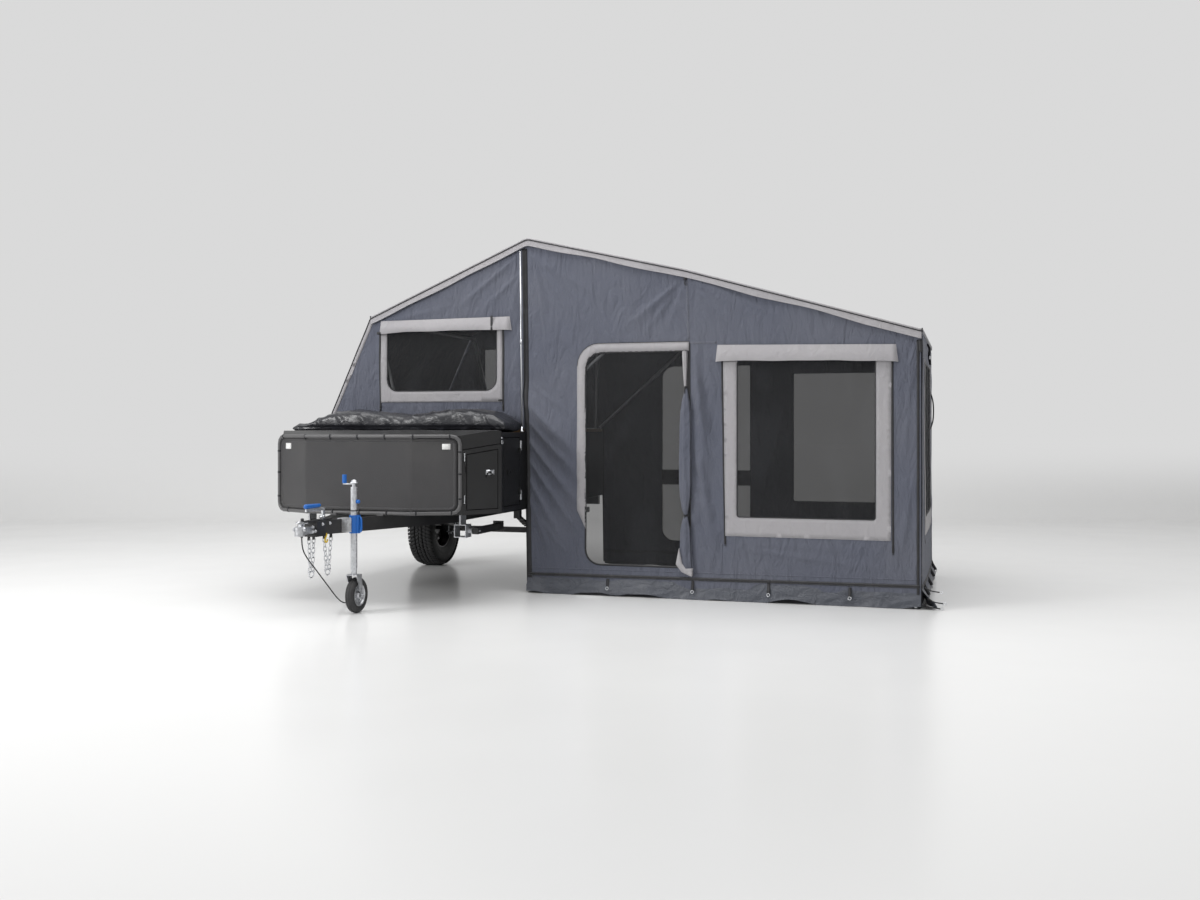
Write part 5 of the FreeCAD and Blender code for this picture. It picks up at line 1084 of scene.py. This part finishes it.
def guard_y(x):
    slant = (GUARD_BACK - GUARD_Y) / (GUARD_HALF - GUARD_MID)
    return GUARD_Y + max(0.0, abs(x) - GUARD_MID) * slant


def on_guard(flat, lift=0.0):
    """Onto the guard's three facets, the cloth drawn a little towards its straps."""
    points = []
    for x, z in flat:
        pull = 0.0012 * noise.noise(Vector((x * 5, z * 7, 9)))
        fold = 0.0016 * math.exp(-((abs(x) - GUARD_MID) / 0.006) ** 2)
        out = lift + pull + fold + 0.0018
        side = math.copysign(1, x) if abs(x) > GUARD_MID else 0
        points.append((x + side * out * FACET[1], guard_y(x) - out * (FACET[0] if side else 1), z))
    return np.array(points)


SHEET = rounded(-0.7505, 0.7185, 0.7505, 1.2595, (0.047,) * 4)
flat, faces = patch(SHEET, (), 0.022)
sheet = add("guard_cloth_sheet", [(on_guard(flat), faces)], guard_cloth, "guard_sheet")
inner = rounded(-0.722, 0.745, 0.722, 1.233, (0.03,) * 4)
rim_path = rounded(-0.737, 0.731, 0.737, 1.247, (0.04,) * 4)
add("guard_hem", [strip(loop(rim_path), 0.024, on_guard, 0.0014)], guard_cloth)
add("guard_stitching", [stitches(loop(inner + (inner - inner.mean(0)) * 0.008), on_guard, 0.0012,
                                 0.009, (0.0055, 0.0014, 0.0006))], thread)
straps = []
band = [(-0.006, 0.0142), (-0.006, 0.0158), (0.006, 0.0158), (0.006, 0.0142), (-0.006, 0.0142)]
for level, toward, spots in (
        (1.276, -1, (-0.713, -0.443, -0.227, 0.003, 0.23, 0.455, 0.70)),
        (0.702, 1, (-0.649, -0.43, -0.205, 0.02, 0.248, 0.476, 0.712))):
    for x in spots:
        out = abs(x) > GUARD_MID + 0.01
        way = np.array([FACET[0], math.copysign(FACET[1], x), 0]) if out else np.array([1.0, 0, 0])
        spot = np.array([x, guard_y(x), level])
        face = np.array([way[1], -way[0], 0])
        straps += [turned(band, spot, way, 20),
                   swept([spot + face * 0.0125 + (0, 0, toward * 0.008),
                          spot + face * 0.008 + (0, 0, toward * 0.017),
                          spot + face * 0.0065 + (0, 0, toward * 0.026)],
                         [(0.0055, -0.001), (-0.0055, -0.001), (-0.0055, 0.001), (0.0055, 0.001)])]
straps += [turned(band, (side * GUARD_HALF, GUARD_BACK, z), UP, 20)
           for side in (-1, 1) for z in (1.16, 0.994, 0.808)]
add("guard_straps", straps, black_cloth)
add("reflectors", [raised(rounded(*corners, (0.004,) * 4), on_guard, 0.0035) for corners in (
    (-0.681, 1.177, -0.618, 1.223), (0.650, 1.178, 0.705, 1.221))], white_plastic)


# ---------------------------------------------------------------- travel cover and mattress


def bulk(s, power, high):
    """A sine or cosine flattened towards its ends, times a size."""
    return np.sign(s) * np.abs(s) ** power * high


COVER_FOOT = 1.308
COVER_TOP = ((-0.94, 1.37), (-0.80, 1.385), (-0.62, 1.462), (-0.44, 1.486), (-0.16, 1.464),
             (0.06, 1.440), (0.24, 1.454), (0.45, 1.480), (0.63, 1.490), (0.80, 1.472),
             (0.94, 1.40))
rings = []
for s in np.linspace(-1, 1, 150):
    x = 0.936 * math.sin(s * math.pi / 2 * 0.985) / math.sin(math.pi / 2 * 0.985)
    cap = max(0.06, (1 - abs(x / 0.94) ** 14)) ** 0.33
    top = np.interp(x, *zip(*COVER_TOP))
    mid, half = (top + COVER_FOOT) / 2, (top - COVER_FOOT) / 2 * cap
    ring = []
    for a in turns(72):
        y = 0.789 + bulk(math.cos(a), 0.62, 0.196) * (0.86 + 0.14 * cap)
        z = mid + bulk(math.sin(a), 0.55, half)
        wide = 1 - abs(noise.noise(Vector((x * 4.6 + z * 3, y * 5, 5)))) * 2.6
        small = 1 - abs(noise.noise(Vector((x * 13 + z * 9, y * 12 + z * 6, 8)))) * 2.6
        push = 0.016 * max(wide, 0) ** 2 + 0.006 * max(small, 0) ** 2
        push += 0.014 * noise.noise(Vector((x * 2.6, z * 5, y * 2.4)))
        pull = 0.010 * math.exp(-((z - 1.345) / 0.012) ** 2) * (y < 0.7)
        out = push - pull
        ring.append((x, y + math.cos(a) * out, max(1.3066, z + math.sin(a) * out * 0.7)))
    rings.append(ring)
cover = add("cover", [capped(rings)], vinyl, "travel_cover")
seam = [(x, 0.583 - 0.004 * math.cos(x * 9), 1.3175 + 0.004 * noise.noise(Vector((x * 3, 0, 0))))
        for x in np.linspace(-0.90, 0.90, 60)]
add("cover_hem", [swept(seam, circle(0.0055, 8))], zip_nylon)

BED_MID = 2.123
rings = []
for s in np.linspace(-1, 1, 60):
    y = BED_MID + 0.899 * math.sin(s * math.pi / 2)
    cap = max(0.03, 1 - abs((y - BED_MID) / 0.901) ** 16) ** 0.4
    ring = []
    for a in turns(56):
        x = bulk(math.cos(a), 0.30, 0.796)
        z = 1.3906 + bulk(math.sin(a), 0.42, 0.0535) * cap
        puff = 0.004 * noise.noise(Vector((x * 4, y * 4, 2)))
        button = math.cos(x * 2 * math.pi / 0.4) * math.cos((y - BED_MID) * 2 * math.pi / 0.45)
        ring.append((x, y, z + (puff - 0.010 * button ** 8) * (z > 1.42)))
    rings.append(ring)
cushion = add("cushion", [capped(rings)], bed_cloth, "mattress")
piping = rounded(-0.797, 1.2225, 0.797, 3.0235, (0.03,) * 4)
add("cushion_piping", [swept(np.insert(piping, 2, z, 1), circle(0.004, 8), True)
                       for z in (1.343, 1.438)], black_cloth)


# ---------------------------------------------------------------- hinges, latches and handles


def hinge(spot, length=0.062, radius=0.006):
    """An upright barrel in three knuckles."""
    parts = []
    for k in range(3):
        a = -length / 2 + k * length / 3 + 0.0006
        b = a + length / 3 - 0.0012
        parts.append(pin([(a, radius * 0.85), (a + 0.001, radius), (b - 0.001, radius),
                          (b, radius * 0.85)], spot, UP, 16))
    return parts


def screw(spot, axis, radius, high, count=18):
    return pin([(-0.0005, radius), (high * 0.5, radius), (high, radius * 0.72)], spot, axis, count)


def hex_bolt(spot, axis, size, high):
    """A washer, a six-sided head and the thread's end."""
    return merge([
        pin([(-0.0005, size * 1.45), (0.0018, size * 1.45), (0.0022, size * 1.3)], spot, axis, 24),
        pin([(0.002, size), (0.0015 + high * 0.8, size), (0.002 + high, size * 0.86)],
            spot, axis, 6),
        pin([(high, size * 0.5), (high + 0.005, size * 0.5), (high + 0.006, size * 0.4)],
            spot, axis, 14)])


NOSE_WAY = np.array([0.4947, 0.8691, 0.0])
NOSE_OUT = np.array([0.8691, -0.4947, 0.0])
for side, name in ((1, "left"), (-1, "right")):
    flip = np.array([side, 1, 1])
    outward = (side, 0, 0)
    steel = [part for z in (1.118, 0.80) for part in hinge((side * 0.779, 0.207, z))]
    steel.append(hex_bolt((side * 0.958, 0.506, 1.262), outward, 0.006, 0.003))
    steel.append(hoop((side * 0.961, 0.512, 1.229), (0, 0.014, 0), (0, 0, 0.014), ring_wire, 20))
    for z in (1.199, 0.803):
        steel += hinge((side * 0.9625, 0.905, z), 0.08, 0.0068)
        steel += [screw((side * 0.9555, 0.934, z + dz), outward, 0.0045, 0.002)
                  for dz in (-0.026, 0.0, 0.026)]
        near, far = sorted((side * 0.9552, side * 0.9572))
        steel.append(block((near, 0.912, z - 0.038), (far, 0.950, z + 0.038), 0.0008))
    add(f"side_fittings_{name}", steel, galvanised)
    mid = np.array([0.898, 0.418, 1.0]) + NOSE_OUT * 0.0025
    latch = [swept(np.array([mid - NOSE_WAY * 0.040, mid + NOSE_WAY * 0.040]) * flip,
                   bar(0.005, 0.038)),
             pin([(0.0, 0.010), (0.004, 0.010), (0.005, 0.008)],
                 (mid + NOSE_WAY * 0.026 + NOSE_OUT * 0.002) * flip, NOSE_OUT * flip, 20)]
    latch += [screw((mid + NOSE_WAY * a + NOSE_OUT * 0.0022 + (0, 0, h)) * flip, NOSE_OUT * flip,
                    0.0032, 0.0015, 12) for a in (-0.033, 0.036) for h in (-0.013, 0.013)]
    add(f"nose_latch_{name}", latch, galvanised, body=f"nose_door_{name}")
    key = np.array([mid - NOSE_WAY * 0.02, mid + NOSE_WAY * 0.006]) + NOSE_OUT * 0.004
    add(f"nose_latch_key_{name}", [swept(key * flip, bar(0.005, 0.018))], black_coat,
        body=f"nose_door_{name}")


# ---------------------------------------------------------------- road wheels
LUGS = 62
WHEEL_X, WHEEL_Y, WHEEL_Z = 0.62, 2.67, 0.365
LUG_ROWS = [(-0.098, 0.020, 0.40, 0.3375), (-0.060, 0.0165, 0.36, 0.351),
            (-0.018, 0.0145, 0.38, 0.3535), (0.018, 0.0145, 0.38, 0.3535),
            (0.060, 0.0165, 0.36, 0.351), (0.098, 0.020, 0.40, 0.3375)]


def both_sides(half):
    """A wheel's profile from its right half."""
    return [(-a, r) for a, r in half[::-1]] + half[1:]


def road_tyre(side):
    """A carcass with ribs on its walls, and the tread's staggered lugs."""
    x0, y0, z0 = side * WHEEL_X, WHEEL_Y, WHEEL_Z
    half = [(0.0, 0.3505), (0.030, 0.3505), (0.032, 0.3455), (0.040, 0.3455), (0.042, 0.3505),
            (0.078, 0.3485), (0.094, 0.343), (0.106, 0.331), (0.1125, 0.316), (0.1155, 0.300),
            (0.1170, 0.285), (0.1165, 0.2835), (0.1170, 0.282), (0.1155, 0.262), (0.1145, 0.2605),
            (0.1150, 0.259), (0.1105, 0.236), (0.104, 0.218), (0.0995, 0.206), (0.0975, 0.1985),
            (0.0915, 0.192), (0.080, 0.190)]
    parts = [turned(both_sides(half), (x0, y0, z0), LEFT, 96)]
    step = 2 * math.pi / LUGS
    for k, (row, wide, share, low) in enumerate(LUG_ROWS):
        shoulder = abs(row) > 0.09
        high = 0.3625 if shoulder else 0.365
        points, faces = [], []
        for n in range(LUGS):
            mid = (n + (0.5 if k % 2 else 0.0)) * step
            skew = math.copysign(0.20 * step, row)
            first = len(points)
            for r, grow in ((low, 1.0), (high - 0.002, 1.0), (high, 0.9)):
                for dx, dt in ((-wide, -share), (wide, -share), (wide, share), (-wide, share)):
                    drop = 0.012 if shoulder and dx * row > 0 and r > low else 0.0
                    spin = mid + grow * dt * step + skew * dx / wide
                    points.append((x0 + row + dx * grow, y0 + (r - drop) * math.cos(spin),
                                   z0 + (r - drop) * math.sin(spin)))
            for ring in range(2):
                for e in range(4):
                    a, b = first + ring * 4 + e, first + ring * 4 + (e + 1) % 4
                    faces.append((a, b, b + 4, a + 4))
            faces.append(tuple(first + 8 + e for e in range(4)))
        parts.append((np.array(points), faces))
    return parts


for side, name in ((1, "left"), (-1, "right")):
    body, axis = f"wheel_{name}", (side, 0, 0)
    add(f"road_tyre_{name}", road_tyre(side), tyre_rubber, f"tyre_{name}", body)
    add(f"hub_cap_{name}", [pin([(0.0, 0.034), (0.030, 0.034), (0.036, 0.030), (0.038, 0.022)],
                                (side * (WHEEL_X + 0.02), WHEEL_Y, WHEEL_Z), axis, 32)],
        black_coat, body=body)
    nuts = [pin([(-0.002, 0.0125), (0.004, 0.0125), (0.006, 0.0105), (0.017, 0.0105),
                 (0.021, 0.007)], (side * (WHEEL_X + 0.024), WHEEL_Y + 0.070 * math.cos(spin),
                                   WHEEL_Z + 0.070 * math.sin(spin)), axis, 6)
            for spin in turns(6)]
    nuts.append(pin([(0.0, 0.004), (0.030, 0.004), (0.032, 0.003)],
                    (side * (WHEEL_X + 0.006), WHEEL_Y + 0.13, WHEEL_Z), axis, 12))
    add(f"wheel_nuts_{name}", nuts, drawn_steel, body=body)


# ---------------------------------------------------------------- jockey wheel
jockey_hub = jx, jy, jz = 0.16, -0.317, 0.1285
half = [(0.0, 0.1285), (0.008, 0.1280), (0.010, 0.1255), (0.013, 0.1255), (0.015, 0.1270),
        (0.021, 0.1240), (0.027, 0.1185), (0.0315, 0.110), (0.033, 0.100), (0.0315, 0.090),
        (0.028, 0.0835), (0.024, 0.0805)]
add("jockey_tyre_round", [turned(both_sides(half), jockey_hub, LEFT, 64)], wheel_rubber,
    "jockey_tyre", "jockey_wheel")
spokes = []
for side in (-1, 1):
    dish = [(side * 0.0275, 0.0795), (side * 0.0285, 0.0765), (side * 0.022, 0.072),
            (side * 0.013, 0.069)]
    spokes += [turned(dish, jockey_hub, LEFT, 48),
               turned([(side * 0.013, 0.030), (side * 0.030, 0.027), (side * 0.0325, 0.0245),
                       (side * 0.0325, 0.010), (side * 0.030, 0.009)], jockey_hub, LEFT, 32)]


def spoke_point(base, side, r, share):
    """A point at radius r of a swept-back spoke, its share from -1 to 1 across it."""
    spin = base + (r - 0.027) / 0.044 * 0.55
    wide = share * (0.0078 + 0.004 * ((r - 0.049) / 0.022) ** 2)
    return (jx + side * 0.0125, jy + r * math.cos(spin) - wide * math.sin(spin),
            jz + r * math.sin(spin) + wide * math.cos(spin))


reach = np.linspace(0.027, 0.071, 8)
for base in turns(9):
    rows = [[spoke_point(base, side, r, share) for share in np.linspace(-1, 1, 4)]
            for side in (-1, 1) for r in reach[::-side]]
    spokes.append(grid(rows + rows[:1]))
    spokes += [grid([[spoke_point(base, side, r, share) for r in reach] for side in (-1, 1)])
               for share in (-1, 1)]
spokes.append(turned([(-0.0245, 0.0805), (-0.0245, 0.076), (0.0245, 0.076), (0.0245, 0.0805)],
                     jockey_hub, LEFT, 48))
add("jockey_spokes", spokes, galvanised, "jockey_rim", "jockey_wheel")
STAND_Y = -0.355
STAND = (jx, STAND_Y, 0)
add("jockey_head", [
    pin([(0.939, 0.0265), (0.9395, 0.0275), (0.946, 0.0275), (0.949, 0.021), (0.956, 0.019),
         (0.962, 0.015), (0.966, 0.008), (0.9675, 0.001)], STAND, UP, 32),
    pin([(0.884, 0.0262), (0.889, 0.0262)], STAND, UP, 28),
    pin([(0.828, 0.0248), (0.832, 0.0248)], STAND, UP, 28)], galvanised)
add("jockey_band", [pin([(0.738, 0.0253), (0.7385, 0.0262), (0.7455, 0.0262), (0.746, 0.0253)],
                        STAND, UP, 28)], zip_nylon)
add("jockey_button", [pin([(0.022, 0.014), (0.038, 0.014), (0.043, 0.0125), (0.046, 0.008)],
                          (jx, STAND_Y, 0.808), LEFT, 24)], blue_plastic)
add("jockey_axle_ends", [hex_bolt((jx + side * 0.043, jy, jz), (side, 0, 0), 0.009, 0.006)
                         for side in (-1, 1)], galvanised, body="jockey_fork")
add("clamp_lever", [bent([(0.207, -0.355, 0.70), (0.222, -0.36, 0.68), (0.226, -0.365, 0.62),
                          (0.222, -0.37, 0.59)], circle(0.0058, 10),
                         scales=np.linspace(1.0, 1.3, 25))], blue_plastic)
add("clamp_bolts", [pin([(0.0, 0.005), (0.006, 0.005), (0.0075, 0.0035)], (0.150, -0.3885, z),
                        (0, -1, 0), 6) for z in (0.60, 0.645, 0.690)], galvanised)
add("bracket_bolts", [hex_bolt((0.048, y, z), (-1, 0, 0), 0.008, 0.005)
                      for y in (-0.375, -0.335) for z in (0.602, 0.678)], galvanised)


# ---------------------------------------------------------------- chains and coupling


LINK_HALF, LINK_WIDE, LINK_WIRE = 0.0202, 0.0117, 0.0034


def link_ring(centre, down, side):
    """One welded link of round wire."""
    straight = LINK_HALF - LINK_WIDE
    path = [centre + down * (math.copysign(straight, math.cos(t)) + LINK_WIDE * math.cos(t))
            + side * LINK_WIDE * math.sin(t) for t in turns(20)]
    return swept(path, circle(LINK_WIRE, 8), True)


chain_parts = []
PITCH, GRIP = 0.03349, 0.018917
for x, y, reach, start in ((0.026, -0.495, 0.047, 0.5633), (-0.040, -0.605, 0.032, 0.5566)):
    run = 6 * PITCH + 2 * GRIP
    lean = math.asin((reach - 0.014) / run)
    for sign in (-1, 1):
        down = np.array([0, -sign * math.sin(lean), -math.cos(lean)])
        cross = np.cross((1, 0, 0), down)
        first = np.array([x, y + sign * reach, start]) + down * GRIP
        for i in range(7):
            side = np.cross(np.array([1.0, 0, 0]) if i % 2 else cross, down)
            chain_parts.append(link_ring(first + down * i * PITCH, down, side))
    foot = start - run * math.cos(lean) + 0.0038
    chain_parts += [
        pin([(-0.036, 0.0062), (-0.031, 0.0062), (-0.0308, 0.0042), (0.0308, 0.0042),
             (0.031, 0.0075), (0.034, 0.0075)], (x, y, foot), AFT, 14),
        bent([(x, y - 0.0285, foot), (x, y - 0.0305, foot - 0.016), (x, y - 0.020, foot - 0.036),
              (x, y, foot - 0.042), (x, y + 0.020, foot - 0.036),
              (x, y + 0.0305, foot - 0.016), (x, y + 0.0285, foot)], circle(0.0042, 9), 6)]
    chain_parts += [pin([(-0.004, 0.0078), (0.004, 0.0078)], (x, y + sign * 0.0275, foot),
                        (0, 1, 0), 16) for sign in (-1, 1)]
add("chain_links", chain_parts, galvanised, "safety_chains")
hook = curved([(0.041, -0.538, 0.592), (0.042, -0.541, 0.572), (0.042, -0.556, 0.553),
               (0.042, -0.554, 0.534), (0.042, -0.538, 0.527), (0.042, -0.524, 0.536),
               (0.042, -0.523, 0.549)], 8)
add("chain_hook", [swept(hook, circle(0.0062, 10), scales=np.linspace(1.15, 0.75, len(hook)))],
    yellow_coat)

grip = [(0.0, 0.006), (0.002, 0.012), (0.006, 0.0158), (0.012, 0.017)]
for k in range(9):
    a = 0.02 + k * 0.0165
    thick = 0.0170 - 0.0042 * (a / 0.2)
    grip += [(a, thick - 0.0016), (a + 0.0025, thick - 0.0016), (a + 0.005, thick),
             (a + 0.0145, thick)]
grip += [(0.176, 0.0128), (0.190, 0.0125), (0.197, 0.0105), (0.200, 0.006)]
add("brake_grip", [pin(grip, (0, -0.755, 0.7903), AFT, 28)], blue_plastic,
    "handbrake_grip")
fittings = [hex_bolt((side * 0.0485, y, z), (side, 0, 0), size, 0.006) for y, z, size in (
    (-0.735, 0.618, 0.008), (-0.735, 0.650, 0.008), (-0.700, 0.618, 0.008),
    (-0.60, 0.66, 0.0085), (-0.50, 0.66, 0.0085)) for side in (-1, 1)]
fittings += [
    bent([(0, -0.772, 0.676), (0, -0.80, 0.688), (0, -0.835, 0.693), (0, -0.858, 0.683)],
         bar(0.026, 0.005), 6),
    pin([(-0.030, 0.007), (0.030, 0.007)], (0, -0.77, 0.682), LEFT, 16),
    pin([(-0.019, 0.012), (0.019, 0.012)], (0, -0.525, 0.706), LEFT, 20)]
fittings += [pin([(0, 0.0175), (0.004, 0.0175), (0.007, 0.012), (0.012, 0.012), (0.014, 0.009)],
                 (side * 0.0355, -0.825, 0.640), (side, 0, 0), 24) for side in (-1, 1)]
add("coupling_fittings", fittings, galvanised)
add("latch_knob", [pin([(0.0, 0.006), (0.004, 0.011), (0.012, 0.0125), (0.019, 0.010),
                        (0.022, 0.005)], (0.0, -0.79, 0.692), UP, 20)], zip_nylon)


# ---------------------------------------------------------------- springs and tail
under = []
for x in (-0.42, 0.42):
    for y in (2.645, 2.695):
        under.append(bent([(x - 0.036, y, 0.305), (x - 0.036, y, 0.40), (x - 0.034, y, 0.455),
                           (x, y, 0.466), (x + 0.034, y, 0.455), (x + 0.036, y, 0.40),
                           (x + 0.036, y, 0.305)], circle(0.0055, 8), 5))
        under += [pin([(0, 0.009), (0.009, 0.009)], (x + dx, y, 0.316), UP, 6)
                  for dx in (-0.036, 0.036)]
    under.append(block((x - 0.052, 2.628, 0.326), (x + 0.052, 2.712, 0.336), 0.002))
add("spring_bolts", under, galvanised)

tail = []
for x in (-0.66, 0.66):
    tail += [block((x - 0.032, 3.2124, 1.15), (x + 0.032, 3.2164, 1.235), 0.002),
             bent([(x, 3.217, 1.16), (x, 3.226, 1.175), (x, 3.226, 1.225), (x, 3.217, 1.240)],
                  bar(0.022, 0.005), 5)]
    tail += [screw((x + dx, 3.2164, z), AFT, 0.0035, 0.0018)
             for z in (1.158, 1.227) for dx in (-0.024, 0.024)]
add("tail_latches", tail, galvanised, body="tailgate")
bezels = []
for x in (-0.80, 0.80):
    edge = rounded(x - 0.073, 0.5995, x + 0.073, 0.6665, (0.006,) * 4)
    bezels.append(swept(np.insert(edge, 1, 3.2325, 1), circle(0.0028, 8), True))
    bezels += [screw((x + dx, 3.232, 0.633), AFT, 0.0035, 0.0018) for dx in (-0.058, 0.058)]
add("lamp_bezels", bezels, black_coat)


# ---------------------------------------------------------------- trailer lead
LEAD_ROUTE = [
    (-15, -772, 576.7), (-15, -772, 505), (-10, -712, 430), (-10, -620, 358), (-16, -515, 280),
    (-28, -405, 204), (-46, -293, 134), (-70, -178, 70), (-94, -62, 26), (-110, 45, 8),
    (-122, 150, 17),
]
lead_curve = bpy.data.curves.new("lead", "CURVE")
lead_curve.dimensions = "3D"
line = lead_curve.splines.new("NURBS")
line.points.add(len(LEAD_ROUTE) - 1)
for point, (x, y, z) in zip(line.points, LEAD_ROUTE):
    point.co = (*at(x / 1000, y / 1000, z / 1000), 1)
line.order_u = 3
line.use_endpoint_u = True
lead_curve.bevel_depth = 0.0045
lead_curve.bevel_resolution = 4
lead_curve.resolution_u = 10
lead_curve.use_fill_caps = True
lead = placed("lead", lead_curve)
lead_curve.materials.append(lead_rubber.mat)
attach(lead, "trailer")
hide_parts("tow_lead")


# ---------------------------------------------------------------- stage and light
BACKGROUND, SKY_LIGHT = 0.70, 0.56
NEAR_END, BEND_AT, BEND, SIDES = -14.0, 7.4, 2.0, 24
bpy.context.scene.view_settings.view_transform = "Standard"


def wire(tree, *pairs):
    for source, target in pairs:
        tree.links.new(source, target)


def added(tree, *kinds):
    return (tree.nodes.new(f"ShaderNode{kind}") for kind in kinds)


def showing_rays(tree):
    """Camera rays, and with them the glossy and transmission rays that show the background."""
    ray, mirror, seen = added(tree, "LightPath", "Math", "Math")
    mirror.operation = seen.operation = "MAXIMUM"
    wire(tree, (ray.outputs["Is Glossy Ray"], mirror.inputs[0]),
         (ray.outputs["Is Transmission Ray"], mirror.inputs[1]),
         (mirror.outputs[0], seen.inputs[0]), (ray.outputs["Is Camera Ray"], seen.inputs[1]))
    return ray.outputs["Is Camera Ray"], seen.outputs[0]


floor_finish = Finish("stage_floor", (0.84, 0.84, 0.835), 0.22)
floor_finish.gloss((0.8, 4.0), 0.18, 0.3)
stage_mesh = bpy.data.meshes.new("stage_floor")
rows = [(NEAR_END, 0.0), (BEND_AT, 0.0)] + [
    (BEND_AT + BEND * math.sin(t), BEND - BEND * math.cos(t))
    for t in np.linspace(0.1, math.pi / 2, 12)] + [(BEND_AT + BEND, 12.0)]
heading = Vector((-math.sin(VIEW_TURN), math.cos(VIEW_TURN), 0))
sideways = Vector((math.cos(VIEW_TURN), math.sin(VIEW_TURN), 0))
points = [tuple(heading * far + sideways * side + Vector((0, 0, z)))
          for far, z in rows for side in (-SIDES, SIDES)]
stage_mesh.from_pydata(points, [], [(2 * i, 2 * i + 1, 2 * i + 3, 2 * i + 2)
                                    for i in range(len(rows) - 1)])
stage_mesh.polygons.foreach_set("use_smooth", [True] * len(stage_mesh.polygons))
stage_mesh.materials.append(floor_finish.mat)
placed("stage_floor", stage_mesh)

# The backdrop glows evenly above the floor for the rays that show it, and camera rays from
# behind pass through it
tree = floor_finish.tree
end = tree.nodes["Material Output"].inputs["Surface"]
surface = end.links[0].from_socket
camera_ray, seen = showing_rays(tree)
spot, split, height, both, glow, mixed, behind, clear, shown = added(
    tree, "NewGeometry", "SeparateXYZ", "MapRange", "Math", "Emission", "MixShader", "Math",
    "BsdfTransparent", "MixShader")
both.operation = behind.operation = "MULTIPLY"
height.interpolation_type = "SMOOTHSTEP"
height.inputs["From Max"].default_value = 1.1
glow.inputs["Color"].default_value = (BACKGROUND, BACKGROUND, BACKGROUND, 1)
wire(tree, (spot.outputs["Position"], split.inputs[0]),
     (split.outputs["Z"], height.inputs["Value"]), (height.outputs["Result"], both.inputs[0]),
     (seen, both.inputs[1]), (both.outputs[0], mixed.inputs[0]), (surface, mixed.inputs[1]),
     (glow.outputs[0], mixed.inputs[2]), (spot.outputs["Backfacing"], behind.inputs[0]),
     (camera_ray, behind.inputs[1]), (behind.outputs[0], shown.inputs[0]),
     (mixed.outputs[0], shown.inputs[1]), (clear.outputs[0], shown.inputs[2]),
     (shown.outputs[0], end))

world = bpy.data.worlds.new("studio")
bpy.context.scene.world = world
world.use_nodes = True
sky = world.node_tree
background = sky.nodes["Background"]
background.inputs["Color"].default_value = (1.0, 1.0, 1.0, 1)
_, seen = showing_rays(sky)
strength, = added(sky, "MapRange")
strength.inputs["To Min"].default_value = SKY_LIGHT
strength.inputs["To Max"].default_value = BACKGROUND
wire(sky, (seen, strength.inputs["Value"]),
     (strength.outputs["Result"], background.inputs["Strength"]))


def soft_light(name, place, aim, size, power):
    data = bpy.data.lights.new(name, "AREA")
    data.shape = "RECTANGLE"
    data.size, data.size_y = size
    data.energy = power
    lamp = placed(name, data)
    lamp.location = at(*place)
    lamp.rotation_euler = (at(*aim) - lamp.location).to_track_quat("-Z", "Y").to_euler()


soft_light("top", (1.5, 0.5, 7.0), (1.5, 1.2, 0), (8, 6), 450)
soft_light("front_left", (-6.0, -6.5, 4.2), (1.0, 1.0, 1.2), (3.5, 3), 540)
